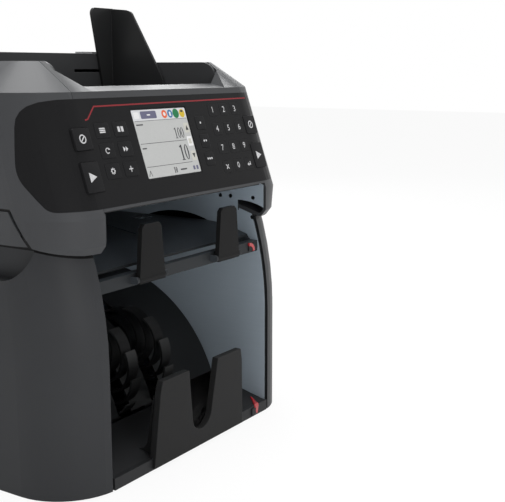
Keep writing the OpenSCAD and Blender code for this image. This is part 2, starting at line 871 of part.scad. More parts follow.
// Mains inlet with its three blades, and the rocker beside it
module mains_inlet() {
    color("#161618") {
        along_y(body_rear - over, body_rear + inlet_flange_t) difference() {
            translate([inlet_x, inlet_z]) square([inlet_w, inlet_h], center = true);
            inlet_cavity();
        }
        along_y(body_rear, body_rear + inlet_flange_t) difference() {
            translate([inlet_x, inlet_z])
                rounded_rect(inlet_w + 2 * inlet_flange, inlet_h + 2 * inlet_flange, inlet_flange_t);
            inlet_cavity();
        }
        along_y(body_rear - inlet_depth, body_rear - over) difference() {
            translate([inlet_x, inlet_z]) square([inlet_w, inlet_h], center = true);
            inlet_cavity();
        }
        along_y(body_rear - inlet_depth - inlet_back, body_rear - inlet_depth)
            translate([inlet_x, inlet_z]) square([inlet_w, inlet_h], center = true);
        along_y(body_rear - inlet_depth - over, body_rear - inlet_pin_end)
            for (p = [[-inlet_pin_x, -inlet_pin_z], [0, inlet_pin_z], [inlet_pin_x, -inlet_pin_z]])
                translate([inlet_x + p[0], inlet_z + p[1]])
                    square([inlet_pin_w, inlet_pin_h], center = true);
    }
}
module inlet_cavity() {
    w = inlet_w / 2 - inlet_wall;
    h = inlet_h / 2 - inlet_wall;
    c = inlet_corner;
    translate([inlet_x, inlet_z]) polygon([[-w, -h], [w, -h], [w, h - c], [w - c, h], [c - w, h],
        [-w, h - c]]);
}
module power_rocker() {
    half = rocker_h / 2;
    edge = half - rocker_edge;
    pin = rocker_w / 2 + rocker_pin_end;
    color("#161618") translate([0, rocker_y, inlet_z]) rotate([-rocker_tilt, 0, 0]) {
        along_x(rocker_x - rocker_w / 2, rocker_x + rocker_w / 2) polygon([
            [-rocker_tail, rocker_tail_in - half], [rocker_step, -edge], [rocker_face, -edge],
            [rocker_face - rocker_dip, 0], [rocker_face, edge], [rocker_step, edge],
            [-rocker_tail, half - rocker_tail_in]
        ]);
        rod_x(rocker_x - pin, rocker_x + pin, 0, 0, rocker_pin_r);
    }
}

// Head shell: stacked outlines joined into one convex form
head_lip = 3;
head_tuck = 6;
shoulder_in = 2;
roof_in = 33;
roof_set = 29;
roof_back = 28;
roof_r = 18;
module head_form(inset) {
    hull() {
        body_slab(seam_front_z - head_lip, body_front + head_flare, half_w, body_rear, front_r, inset);
        body_slab(seam_front_z + head_tuck, chin_y, half_w, body_rear, front_r, inset);
        body_slab(chin_z, chin_y, half_w, body_rear, head_r, inset);
        body_slab(shoulder_z - slab_t, panel_top_y, half_w - shoulder_in, body_rear, head_r, inset);
        body_slab(roof_z - slab_t - inset, panel_top_y + roof_set, half_w - roof_in,
            body_rear - roof_back, roof_r, inset);
    }
}
function toward(p, q, d) = p + (q - p) * d / norm(q - p);
function bend(a, b, c) = [for (i = [0:bend_steps]) let (u = i / bend_steps)
    (1 - u) * (1 - u) * a + 2 * u * (1 - u) * b + u * u * c];
module overlay_region() {
    low = chin_z + overlay_low * cos(panel_tilt);
    tip = [chin_y + overlay_low_wrap, low];
    elbow = [overlay_back_y - overlay_lean, low + overlay_low_rise];
    crown = [overlay_back_y, overlay_top_z];
    along_x(-side_x, side_x) polygon(concat(
        [[body_front - past, low]],
        bend(tip - [overlay_tip, 0], tip, toward(tip, elbow, overlay_tip)),
        bend(toward(elbow, tip, overlay_elbow), elbow, toward(elbow, crown, overlay_elbow)),
        bend(toward(crown, elbow, overlay_crown.y), crown, crown - [overlay_crown.x, 0]),
        [[body_front - past, overlay_top_z]]
    ));
}
// Each key has a hole for its cap and a wider recess behind the wall for its rim
module key_holes(gap) {
    rim_out = key_rim_t + gap - key_depth;
    for (k = KEYS) {
        panel_block(k[1], k[2], k[3] + 2 * gap, k[4] + 2 * gap, key_r + gap, wall, board_depth);
        panel_block(k[1], k[2], k[3] + 2 * (key_rim + gap), k[4] + 2 * (key_rim + gap), key_r,
            rim_out, board_depth);
    }
}
module display_hole() {
    panel_block(lcd_x, lcd_s, lcd_w + 2 * seat, lcd_h + 2 * seat, key_r, wall, board_depth);
}
module control_overlay() {
    color("#1f2023") difference() {
        intersection() {
            head_form(0);
            overlay_region();
        }
        head_form(overlay_t);
        key_holes(key_gap);
        display_hole();
    }
}
module head_shell() {
    difference() {
        head_form(0);
        difference() {
            head_form(wall);
            under_seam(-wall);
        }
        difference() {
            overlay_region();
            head_form(overlay_t);
        }
        under_seam(-seat / 2);
        key_holes(key_gap);
    }
}
// Grip panel over the finger scoop, outlined by a groove
groove_w = 2;
groove_d = 1.8;
grip_rise = 6;
grip_slant = 15;
grip_step = 1;
module grip_outline(grow) {
    half = scoop_half + scoop_r;
    top = chin_z + grip_rise + grow;
    low = seam_front_z - grip_step;
    polygon([
        [scoop_y - half - grow, low], [scoop_y - half - grow, seam_z + grip_step],
        [scoop_y - half + grip_slant - grow, top], [scoop_y + half - grip_slant + grow, top],
        [scoop_y + half + grow, seam_z + grip_step], [scoop_y + half + grow, low]
    ]);
}
module head_side_cover(side) {
    on_side(side) difference() {
        intersection() {
            head_shell();
            beside_pocket(pocket_half + seat);
        }
        along_x(half_w - groove_d, side_x) difference() {
            grip_outline(groove_w);
            grip_outline(0);
        }
    }
}
module head_left_cover() { color("#4a4c50") head_side_cover(-1); }
module head_right_cover() { color("#4a4c50") head_side_cover(1); }

// Rim cut of the hopper, a trough with sloping ends that widens to the back
module trough_end(side, grow) {
    low = rim_half + grow;
    high = rim_top_half + grow;
    on_side(side) rotate([0, 0, -rim_yaw]) along_y(-trough_reach, trough_reach)
        polygon([[-trough_reach, 0], [low, 0], [high, trough_h], [-trough_reach, trough_h]]);
}
module rim_trough(grow) {
    translate([0, panel_top_y - over, shoulder_z - grow])
        rotate([atan((rim_z - shoulder_z) / (rim_y - panel_top_y)), 0, 0]) intersection() {
            box([-side_x, -trough_front, 0], [side_x, trough_back, trough_h]);
            trough_end(-1, grow);
            trough_end(1, grow);
        }
}
module hopper_hole(grow) {
    half = hopper_half + cheek_t + grow;
    box([-half, rim_y - grow, chin_z], [half, back_y + back_t + grow, roof_z + past]);
}
module board_posts() {
    reach = board_h / 2 - board_margin;
    for (x = [-1, 1], s = [-1, 1]) on_panel(x * (pocket_half - post_in), board_s + s * reach)
        translate([0, 0, -board_depth]) cylinder(r = post_r, h = board_depth - wall + post_bite);
}
module head_centre_cover() {
    color("#4a4c50") difference() {
        union() {
            intersection() {
                difference() {
                    union() {
                        head_shell();
                        intersection() {
                            head_form(0);
                            rim_trough(wall);
                            box([-half_w, body_front, overlay_top_z + seat], [half_w, rim_y, roof_z]);
                        }
                    }
                    rim_trough(0);
                    hopper_hole(seat);
                }
                box([seat / 2 - pocket_half, body_front - past, 0],
                    [pocket_half - seat / 2, body_rear + past, roof_z + past]);
            }
            board_posts();
        }
        box([-half_w, body_front - past, 0], [half_w, ceiling_back_y, chin_edge_z]);
        box([-half_w, body_front, 0], [half_w, body_rear - wall - slab_t, chin_z]);
        display_hole();
        hinge_barrel(-hinge_pin_end - fit, 3 * knuckle_w + hinge_pin_end + fit, hinge_r + fit);
    }
    color("#4a4c50") head_knuckles();
}
module head_knuckles() {
    x0 = hinge_x + knuckle_w + fit;
    x1 = hinge_x + 2 * knuckle_w - fit;
    for (side = [-1, 1]) on_side(side) difference() {
        union() {
            rod_x(x0, x1, hinge_y, hinge_z, head_knuckle_r);
            box([x0, body_rear - wall, hinge_z],
                [x1, hinge_y + head_knuckle_r - knuckle_trim, hinge_z + head_knuckle_h]);
        }
        rod_x(x0 - over, x1 + over, hinge_y, hinge_z, hinge_pin_r + run);
    }
}

// Bent sheet frame of the head: ceiling of the reject pocket, its back, cheeks that lap the side plates
module head_frame() {
    front = chin_y + ceiling_set;
    cheek_front = chin_y + cheek_set;
    drop = ceiling_back_y + ceiling_drop_d;
    x_out = pocket_half - fit;
    color("#78828a") {
        along_x(-x_out, x_out) polygon([
            [front, ceiling_z], [front, ceiling_z + sheet], [ceiling_back_y, ceiling_z + sheet],
            [drop, ceiling_low_z + sheet], [body_rear - deck_end, ceiling_low_z + sheet],
            [body_rear - deck_end, ceiling_low_z], [drop - sheet, ceiling_low_z],
                [ceiling_back_y - sheet, ceiling_z]
        ]);
        for (side = [-1, 1]) on_side(side) difference() {
            along_x(x_out - sheet, x_out) difference() {
                polygon([
                    [cheek_front, seam_z - cheek_lap], [drop, seam_z - cheek_lap],
                        [drop, ceiling_low_z + sheet],
                    [ceiling_back_y, ceiling_z + sheet], [front, ceiling_z + sheet],
                        [cheek_front, ceiling_z]
                ]);
                intersection() {
                    translate([cheek_slot_y, cheek_slot_z - cheek_slot_r])
                        circle(r = cheek_slot_r, $fn = arc_fn);
                    translate([body_front - past, 0])
                        square([cheek_slot_end - body_front + past, roof_z]);
                }
            }
            for (h = cheek_holes)
                rod_x(x_out - 2 * sheet, x_out + over, body_front + h, ceiling_z - cheek_hole_drop,
                    cheek_hole_r);
        }
    }
}

// Display, keypad board and keys
module display_module() {
    color("#b9bcbe") panel_block(lcd_x, lcd_s, lcd_w, lcd_h, key_r, -lcd_inset, board_depth);
}
module keypad_board() {
    color("#2e6b3f") panel_block(0, board_s, 2 * (pocket_half - board_margin), board_h, board_margin,
        -board_depth, board_depth + board_t);
}
module key_cap(k) {
    color("#232427") {
        panel_block(k[1], k[2], k[3], k[4], key_r, key_proud, key_depth);
        panel_block(k[1], k[2], k[3] + 2 * key_rim, k[4] + 2 * key_rim, key_r,
            key_rim_t - key_depth, key_depth);
    }
}

// Hopper insert: floor, two cheeks, slotted back wall and the raised cap behind it
module hopper_tray() {
    floor_front_z = floor_back_z - (back_y - floor_front_y) * tan(floor_slope);
    back_out = back_y + back_t;
    foot_z = ceiling_z + sheet;
    cap_half = hopper_half + cap_out;
    color("#26282b") difference() {
        union() {
            for (side = [-1, 1]) on_side(side) along_x(hopper_half, hopper_half + cheek_t) polygon(concat(
                [for (a = [0:15:90]) [rim_y + cheek_round * (1 - cos(a)),
                    roof_z - cheek_round * (1 - sin(a))]],
                [[back_out, roof_z], [back_out, foot_z], [rim_y, foot_z]]
            ));
            box([-hopper_half - over, back_y, foot_z + back_foot],
                [hopper_half + over, back_out, back_top_z]);
            along_x(-cap_half, cap_half) polygon([
                [back_y, roof_z], [back_y, back_top_z - cap_edge], [back_y + cap_edge, back_top_z],
                [back_y + cap_flat, back_top_z], [back_y + cap_run, roof_z]
            ]);
            along_x(-hopper_half - over, hopper_half + over) polygon([
                [back_y + over, floor_back_z], [back_y, floor_back_z], [floor_front_y, floor_front_z],
                [floor_front_y, floor_front_z - floor_t], [back_y + over, floor_back_z - floor_t]
            ]);
            box([-hopper_half - over, rim_y, floor_front_z + rim_wall_foot],
                [hopper_half + over, rim_y + floor_t, rim_z - rim_wall_drop]);
            box([hopper_half - tab_in, back_y + tab_y, back_top_z - cap_edge],
                [hopper_half + tab_w, back_y + tab_y + tab_d, back_top_z + tab_h]);
        }
        for (side = [-1, 1]) on_side(side) {
            box([slot_inner, back_y - over, slot_z - slot_h / 2],
                [hopper_half, back_out + over, slot_z + slot_h / 2]);
            rod_x(hopper_half - over, hopper_half + cheek_t + over, feed_y, feed_z, feed_shaft_r + run);
        }
        for (x = tyre_x)
            rod_x(x - tyre_w / 2 - tyre_gap, x + tyre_w / 2 + tyre_gap, feed_y, feed_z, feed_r + tyre_gap);
        box([-hopper_half, back_out, roof_z - cap_recess_drop],
            [hopper_half, back_out + cap_recess, slot_z + slot_lip]);
    }
}
module note_guide(side) {
    bottom = floor_back_z + guide_gap + guide_lift;
    top = bottom + guide_h;
    face_y = back_y - fit;
    low_front = face_y - guide_foot_d;
    inner = guide_x - guide_t;
    pad_y = back_y + back_t + fit;
    on_side(side) {
        along_x(inner, guide_x) polygon([
            [face_y, bottom], [low_front, bottom - guide_foot_d * tan(floor_slope) + guide_lift],
            [face_y - guide_knee_d, bottom + guide_knee_h], [face_y - guide_top_d, top - guide_round],
            [face_y - guide_top_d + guide_round, top - guide_round / 2], [face_y, top]
        ]);
        along_y(face_y - guide_t, face_y) polygon([
            [guide_x, bottom], [inner - guide_foot_w, bottom], [inner - guide_top_w, top - guide_round],
            [inner - guide_top_w + guide_nose, top], [guide_x, top]
        ]);
        box([inner - arm_w, face_y - over, slot_z - slot_h / 2 + fit],
            [inner, pad_y + over, slot_z + slot_h / 2 - fit]);
        box([inner - arm_w, pad_y, slot_z - arm_pad_h / 2],
            [inner, pad_y + arm_pad_t, slot_z + arm_pad_h / 2]);
    }
}
module guide_left() { color("#242527") note_guide(-1); }
module guide_right() { color("#242527") note_guide(1); }
module feed_roller() {
    color("#2b2b2d") {
        rod_x(-hopper_half - cheek_t - feed_shaft_end, hopper_half + cheek_t + feed_shaft_end,
            feed_y, feed_z,
            feed_shaft_r);
        for (x = tyre_x) rod_x(x - tyre_w / 2, x + tyre_w / 2, feed_y, feed_z, feed_r);
    }
}

base_tray();
lower_left_cover();
lower_right_cover();
lower_rear_cover();
left_side_plate();
right_side_plate();
stacker_chute();
stop_plate();
reject_tray();
rubber_feet();
cover_screws();
mains_inlet();
power_supply();
drive_motor();
drive_belt();
signal_lamps();
hinge_pins();
stacker_shaft();
stacker_wheel_left();
stacker_wheel_right();
motor_pulley();
reject_stop_left();
reject_stop_right();
power_rocker();
head_left_cover();
head_right_cover();
head_centre_cover();
head_frame();
control_overlay();
display_module();
keypad_board();
hopper_tray();
guide_left();
guide_right();
feed_roller();
for (k = KEYS) key_cap(k);
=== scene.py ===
# %% [markdown]
# # A two-pocket banknote counter
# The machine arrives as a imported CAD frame: sixty nodes, each already in its place and already
# riding on the body that moves it. This script never moves those nodes. It puts a finished skin on
# them, adds the prints and small parts that CAD leaves out, and lights the result like a catalogue
# picture. Everything is in metres, with +X to the right of a user, +Y to the back and +Z up.

# %% Load the frame
import json
import math

import bmesh
import bpy
from mathutils import Matrix, Vector


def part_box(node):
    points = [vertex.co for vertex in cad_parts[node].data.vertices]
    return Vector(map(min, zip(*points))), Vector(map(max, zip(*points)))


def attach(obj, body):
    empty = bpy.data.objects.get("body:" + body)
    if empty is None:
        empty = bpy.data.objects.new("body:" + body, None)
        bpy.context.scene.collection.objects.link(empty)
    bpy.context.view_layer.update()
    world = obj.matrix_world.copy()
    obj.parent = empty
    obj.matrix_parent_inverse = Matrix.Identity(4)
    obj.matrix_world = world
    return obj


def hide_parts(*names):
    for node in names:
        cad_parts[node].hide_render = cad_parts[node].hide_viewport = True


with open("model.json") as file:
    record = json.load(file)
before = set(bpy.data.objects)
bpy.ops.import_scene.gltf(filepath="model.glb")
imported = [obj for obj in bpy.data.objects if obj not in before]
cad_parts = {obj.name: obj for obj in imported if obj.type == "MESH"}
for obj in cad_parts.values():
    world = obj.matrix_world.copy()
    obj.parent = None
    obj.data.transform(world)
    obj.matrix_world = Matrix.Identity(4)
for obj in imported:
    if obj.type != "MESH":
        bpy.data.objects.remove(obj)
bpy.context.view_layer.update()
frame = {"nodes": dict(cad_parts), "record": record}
nodes = frame["nodes"]
body_of_node = {n: b for b, ns in frame["record"]["behaviour"]["bodies"].items() for n in ns}
slot_of_node = {s["node"]: s["material_slot"] for s in frame["record"]["subparts"]}
MM = 0.001

# %% [markdown]
# ## Camera
# The picture was taken from the front left, a little above the keypad, with a moderate telephoto.
# The place and the focal length come from a fit of the body's straight edges, so the render and the
# picture can be laid over each other. The picture is 505 pixels wide, which turns the fitted focal
# length in pixels into millimetres on a 36 mm sensor.

# %% Camera
PICTURE_WIDTH = 505
FOCAL_PIXELS = 977.9
camera_data = bpy.data.cameras.new("camera")
camera_data.sensor_width = 36
camera_data.lens = FOCAL_PIXELS * camera_data.sensor_width / PICTURE_WIDTH
camera = bpy.data.objects.new("camera", camera_data)
camera.location = (-0.6168, -0.600, 0.3082)
camera.rotation_euler = (math.radians(79.35), 0, math.radians(-57.01))
bpy.context.scene.collection.objects.link(camera)
bpy.context.scene.camera = camera
bpy.context.scene.view_settings.view_transform = "Standard"
print("camera lens", round(camera_data.lens, 2), "mm")

# %% [markdown]
# ## Wires: shader maths as Python
# A node tree is easier to read as a formula than as a web of boxes. One small class wraps a socket:
# arithmetic on it adds Math nodes, and its node() method adds any other node, settings first and
# then the values or links of its sockets. Geometry Nodes trees use the same class further down.


# %% The wire class
class Wire:
    def __init__(self, tree, socket=None):
        self.tree, self.socket = tree, socket

    @staticmethod
    def find(sockets, key):
        if isinstance(key, int):
            return sockets[key]
        return next((s for s in sockets if s.identifier == key), None) or sockets[key]

    def node(self, kind, settings=(), sockets=(), out=0):
        made = self.tree.nodes.new(kind)
        for key, value in dict(settings).items():
            setattr(made, key, value)
        for key, value in dict(sockets).items():
            target = self.find(made.inputs, key)
            for one in value if isinstance(value, list) else [value]:
                if isinstance(one, Wire):
                    self.tree.links.new(one.socket, target)
                else:
                    target.default_value = one
        return Wire(self.tree, self.find(made.outputs, out) if len(made.outputs) else None)

    def math(self, operation, a, b):
        return self.node("ShaderNodeMath", {"operation": operation}, {0: a, 1: b})

    def __add__(self, other):
        return self.math("ADD", self, other)

    def __mul__(self, other):
        return self.math("MULTIPLY", self, other)

    def __sub__(self, other):
        return self.math("SUBTRACT", self, other)

    def __rsub__(self, other):
        return self.math("SUBTRACT", other, self)

    __radd__, __rmul__ = __add__, __mul__

    def above(self, level):
        return self.math("GREATER_THAN", self, level)

    def noise(self, scale, detail=2.0, stretch=None):
        place = self.node("ShaderNodeTexCoord", out="Object")
        if stretch:
            place = self.node("ShaderNodeMapping", (), {"Vector": place, "Scale": stretch})
        sockets = {"Vector": place, "Scale": scale, "Detail": detail}
        return self.node("ShaderNodeTexNoise", (), sockets, "Fac")

    def axis(self, name):
        """Object coordinate along X, Y or Z, in millimetres."""
        place = self.node("ShaderNodeTexCoord", out="Object")
        return self.node("ShaderNodeSeparateXYZ", (), {"Vector": place}, name) * 1000

    def blend(self, factor, a, b):
        a, b = (c if isinstance(c, Wire) else (*c, 1) for c in (a, b))
        sockets = {"Factor_Float": factor, "A_Color": a, "B_Color": b}
        return self.node("ShaderNodeMix", {"data_type": "RGBA"}, sockets, "Result_Color")

    def bump(self, height, strength, distance):
        sockets = {"Height": height, "Strength": strength, "Distance": distance}
        return self.node("ShaderNodeBump", (), sockets)


def finish(name, recipe, **constants):
    """A material whose recipe returns the wires that vary; constants go on the shader's own sockets."""
    made = bpy.data.materials.new(name)
    made.use_nodes = True
    shader = made.node_tree.nodes["Principled BSDF"]
    for key, value in constants.items():
        shader.inputs[key.replace("_", " ")].default_value = value
    for key, wire in recipe(Wire(made.node_tree)).items():
        made.node_tree.links.new(wire.socket, shader.inputs[key])
    return made


print("wires ready")

# %% [markdown]
# ## Studio
# The machine stands on a plain white sweep. The world looks white to the camera and to reflections,
# but lights the scene with a quieter grey, so dark plastic stays dark and still shows a pale sheen
# where it is seen at a grazing angle. One wide soft box hangs overhead, as in the picture, where the
# shoulders are bright and the upright walls are not. One behind the machine grazes the rim, and a low
# one in front sends some light into the two pockets.

# %% Floor, world and lamps
WORLD_LIGHT = 0.40
PAPER_SHARE = 0.92
FLOOR_HALF = 6


def seen_directly(wire):
    """1 for camera, glossy and transmission rays, 0 for light that bounces diffusely."""
    path = wire.node("ShaderNodeLightPath")
    rays = {s.name: Wire(wire.tree, s) for s in path.socket.node.outputs}
    first = wire.math("MAXIMUM", rays["Is Camera Ray"], rays["Is Glossy Ray"])
    return wire.math("MAXIMUM", first, rays["Is Transmission Ray"])


world = bpy.data.worlds.new("studio")
bpy.context.scene.world = world
world.use_nodes = True
wire = Wire(world.node_tree)
sky = world.node_tree.nodes["Background"]
sky.inputs["Color"].default_value = (1, 1, 1, 1)
strength = WORLD_LIGHT + seen_directly(wire) * (1 - WORLD_LIGHT)
world.node_tree.links.new(strength.socket, sky.inputs["Strength"])


def sweep_material():
    made = bpy.data.materials.new("white_sweep")
    made.use_nodes = True
    tree = made.node_tree
    wire = Wire(tree)
    paper = Wire(tree, tree.nodes["Principled BSDF"].outputs[0])
    tree.nodes["Principled BSDF"].inputs["Roughness"].default_value = 0.9
    tone = wire.blend(wire.noise(3.0), (0.86, 0.86, 0.86), (0.89, 0.89, 0.89))
    tree.links.new(tone.socket, tree.nodes["Principled BSDF"].inputs["Base Color"])
    glow = wire.node("ShaderNodeEmission", (), {"Strength": 1.0})
    share = seen_directly(wire) * PAPER_SHARE
    mixed = wire.node("ShaderNodeMixShader", (), {0: share, 1: paper, 2: glow})
    tree.links.new(mixed.socket, tree.nodes["Material Output"].inputs["Surface"])
    return made


floor_mesh = bpy.data.meshes.new("floor")
corners = [(x * FLOOR_HALF, y * FLOOR_HALF, 0) for x, y in ((-1, -1), (1, -1), (1, 1), (-1, 1))]
floor_mesh.from_pydata(corners, [], [(0, 1, 2, 3)])
floor_mesh.materials.append(sweep_material())
floor = bpy.data.objects.new("floor", floor_mesh)
bpy.context.scene.collection.objects.link(floor)


def soft_box(name, place, aim, size, power):
    data = bpy.data.lights.new(name, "AREA")
    data.shape, data.size, data.energy = "DISK", size, power
    lamp = bpy.data.objects.new(name, data)
    lamp.location = place
    lamp.rotation_euler = (Vector(aim) - Vector(place)).to_track_quat("-Z", "Y").to_euler()
    bpy.context.scene.collection.objects.link(lamp)


soft_box("overhead", (0.1, 0.1, 1.7), (0, 0, 0.2), 1.4, 34)
soft_box("back_light", (1.3, 0.85, 1.0), (0, 0, 0.25), 1.0, 9)
soft_box("front_fill", (-0.6, -1.6, 0.28), (0, 0, 0.18), 0.9, 6.5)
print("studio lit")

# %% [markdown]
# ## Finishes
# Nearly all of the machine is moulded plastic. Real mouldings are never one flat colour: they carry a
# fine spark-eroded grain, drift a little in gloss from one area to the next, and are rubbed smooth
# along their edges. The grain is noise at about half a millimetre, fed to a Bump; the drift is slow
# noise; and the rubbed edges come from an attribute called edge that the smooth copies below carry.
# Two pairs of covers also carry a painted shadow line, drawn from Object coordinates: the seam gap under
# the head, and the groove round the hand grip. Both are cut in the solids, but the overhang hides much of
# it, so the shade inside them is painted on in black.


# %% Plastics and rubbers
GAP_SHADE_BLACK = (0.001, 0.001, 0.0012)


def shade(colour, factor):
    return tuple(min(1.0, c * factor) for c in colour)


def moulded(name, colour, rough, grain=1600, depth=0.10, rub=0.35, line=None, **constants):
    def recipe(wire):
        drift = wire.noise(11.0, 3.0)
        edge = wire.node("ShaderNodeAttribute", {"attribute_name": "edge"}, out="Fac")
        speck = wire.noise(grain, 2.0)
        factor = drift * 0.5 + speck * 0.15 + edge * rub
        body = wire.blend(factor, shade(colour, 0.82), shade(colour, 1.45))
        return {
            # where a line mask is given, it paints the shade of a seam gap or groove in black
            "Base Color": wire.blend(line(wire), body, GAP_SHADE_BLACK) if line else body,
            "Roughness": rough - 0.07 + drift * 0.14 - edge * 0.10,
            "Normal": wire.bump(speck, depth, 0.0003),
        }

    return finish(name, recipe, **constants)


SEAM_Z, SEAM_BREAK_Y, SEAM_SLOPE, SEAM_BAND = 186.5, -111.0, 8 / 26, 4.4
GRIP_Y, GRIP_Z, GRIP_HALF, GRIP_SLANT, GRIP_TOP = -60, 187.5, 52, 15 / 23.5, 212
SLANT_HALF, TOP_HALF = 1.2, 1.0


def seam_gap_shade(wire):
    """Painted shade: a black band under the seam between head and lower body; at the front the seam
    drops.
    """
    drop = wire.math("MINIMUM", wire.axis("Y") - SEAM_BREAK_Y, 0.0) * SEAM_SLOPE
    return (wire.axis("Z") - drop).above(SEAM_Z - SEAM_BAND)


def grip_groove_shade(wire):
    """Painted shade at the bottom of the groove that outlines the hand grip: two slants and a top."""
    height = wire.axis("Z")
    across = wire.math("ABSOLUTE", wire.axis("Y") - GRIP_Y, 0.0)
    slant = across + (height - GRIP_Z) * GRIP_SLANT
    near = SLANT_HALF - wire.math("ABSOLUTE", slant - GRIP_HALF, 0.0)
    top = TOP_HALF - wire.math("ABSOLUTE", height - (GRIP_TOP - TOP_HALF), 0.0)
    slants = near.above(0.0) * (GRIP_TOP - height).above(0.0)
    ridge = top.above(0.0) * (GRIP_HALF - slant).above(0.0)
    return wire.math("MAXIMUM", slants, ridge)


COVER = (0.042, 0.0435, 0.0465)
PLASTICS = {  # colour, roughness, specular level, and what departs from a plain moulding
    "charcoal_cover": (COVER, 0.42, 0.22, {}),
    # painted shade: the lower covers are the cover colour made 10% darker, and carry the painted seam
    # shadow
    "seamed_cover": (shade(COVER, 0.9), 0.42, 0.12, {"line": seam_gap_shade}),
    # painted light: the head covers are the cover colour made 15% paler, and carry the painted
    # grip-groove shadow
    "grip_cover": (shade(COVER, 1.15), 0.42, 0.22, {"line": grip_groove_shade}),
    "dark_plastic": ((0.024, 0.0245, 0.026), 0.46, 0.14, {}),
    "black_plastic": ((0.014, 0.015, 0.016), 0.45, 0.18, {}),
    "stop_plastic": ((0.0200, 0.0200, 0.0203), 0.42, 0.06, {"rub": 0.5}),
    "stop_blade": ((0.0130, 0.0130, 0.0132), 0.42, 0.05, {"rub": 0.6}),
    "guide_plastic": ((0.0215, 0.022, 0.0225), 0.34, 0.15, {"depth": 0.06}),
    "hopper_plastic": ((0.046, 0.047, 0.049), 0.40, 0.15, {}),
    # painted shade: the tray's coat is the walls' grey-blue coat made far darker for the shade under the
    # head; the next coat, on the rail's front faces, is darker again
    "tray_coat": ((0.049, 0.055, 0.062), 0.40, 0.20, {"grain": 900}),
    "rail_coat": ((0.0245, 0.027, 0.0295), 0.45, 0.12, {"grain": 900}),
    "rubber": ((0.018, 0.018, 0.018), 0.80, 0.20, {"grain": 900, "depth": 0.25}),
    "panel_black": ((0.0118, 0.0118, 0.0125), 0.34, 0.06, {"grain": 2600, "depth": 0.05}),
    "key_rubber": ((0.0120, 0.0120, 0.0128), 0.44, 0.07, {"grain": 2200, "depth": 0.08, "rub": 0.12}),
}
paint = {
    name: moulded(name, colour, rough, Specular_IOR_Level=gloss, **more)
    for name, (colour, rough, gloss, more) in PLASTICS.items()
}


def blade_rubber(wire):
    # painted highlight: the blade tips are painted paler and smoother, a painted glint of the light they
    # catch
    tip = wire.node("ShaderNodeAttribute", {"attribute_name": "tip"}, out="Fac")
    speck = wire.noise(700, 2.0)
    drift = wire.noise(40.0, 3.0)
    return {
        "Base Color": wire.blend(tip + drift * 0.15, (0.0026, 0.0026, 0.0030), (0.030, 0.0305, 0.031)),
        "Roughness": 0.52 + drift * 0.1 - tip * 0.16,
        "Normal": wire.bump(speck, 0.15, 0.0003),
    }


paint["wheel_rubber"] = finish("wheel_rubber", blade_rubber, Specular_IOR_Level=0.14)
print("plastics:", sorted(paint))

# %% [markdown]
# The pocket walls are sheet steel with a thin grey-blue coat. Rolled sheet keeps a faint grain in one
# direction, so its noise is stretched: hardly any change along the machine's depth, a quick change
# across it. The shafts are bare turned steel, with fine rings round the axis.


# %% Metals, lamps and board
def coated_sheet(wire):
    grain = wire.noise(1.0, 3.0, stretch=(900, 30, 900))
    smudge = wire.noise(16.0, 4.0)
    factor = grain * 0.45 + smudge * 0.55
    return {
        "Base Color": wire.blend(factor, (0.338, 0.397, 0.452), (0.420, 0.488, 0.550)),
        "Roughness": 0.36 + smudge * 0.16 + grain * 0.05,
        "Normal": wire.bump(grain, 0.04, 0.0002),
    }


def turned_metal(light, rough):
    def recipe(wire):
        rings = wire.noise(1.0, 2.0, stretch=(2500, 15, 15))
        smudge = wire.noise(60.0, 3.0)
        grey = (light,) * 3
        return {
            "Base Color": wire.blend(rings * 0.6 + smudge * 0.4, shade(grey, 0.8), shade(grey, 1.15)),
            "Roughness": rough + rings * 0.12 + smudge * 0.1,
            "Normal": wire.bump(rings, 0.05, 0.0001),
        }

    return recipe


def circuit_board(wire):
    place = wire.node("ShaderNodeTexCoord", out="Object")
    tracks = wire.node("ShaderNodeTexVoronoi", {"distance": "CHEBYCHEV", "feature": "F1"},
                       {"Vector": place, "Scale": 160.0}, "Distance")
    copper = tracks.above(0.42)
    return {
        "Base Color": wire.blend(copper, (0.010, 0.075, 0.032), (0.028, 0.150, 0.065)),
        "Roughness": 0.30 + copper * 0.1,
        "Normal": wire.bump(tracks, 0.1, 0.0002),
    }


def lens(colour):
    def recipe(wire):
        ripple = wire.noise(900.0, 1.0)
        return {
            "Base Color": wire.blend(ripple, shade(colour, 0.8), shade(colour, 1.2)),
            "Emission Color": wire.blend(ripple, shade(colour, 0.7), shade(colour, 1.1)),
            "Roughness": 0.12 + ripple * 0.1,
            "Normal": wire.bump(ripple, 0.08, 0.0002),
        }

    return recipe


paint["sheet_steel"] = finish("sheet_steel", coated_sheet, Specular_IOR_Level=0.3)
paint["bright_steel"] = finish("bright_steel", turned_metal(0.55, 0.18), Metallic=1.0)
paint["cage_metal"] = finish("cage_metal", turned_metal(0.42, 0.35), Metallic=0.9)
paint["board_green"] = finish("board_green", circuit_board, Coat_Weight=0.4)
red_lens, green_lens = lens((0.36, 0.010, 0.014)), lens((0.010, 0.20, 0.03))
paint["lamp_lens"] = finish("lamp_lens", red_lens, Emission_Strength=0.2, Coat_Weight=0.5)
lamp_green = finish("lamp_lens_green", green_lens, Emission_Strength=0.25, Coat_Weight=0.5)
print("finishes:", len(paint))

# %% [markdown]
# ## Smooth copies of the CAD shells
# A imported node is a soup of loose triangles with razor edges. A moulded cover has none: every edge is
# broken by a small radius that catches the light. So each visible node gets a copy whose corners are
# merged and whose flat areas are joined, with a Bevel on the sharp edges and weighted normals. The
# bevel's new faces are marked in the edge attribute for the rubbed look. The copy stands for the node.


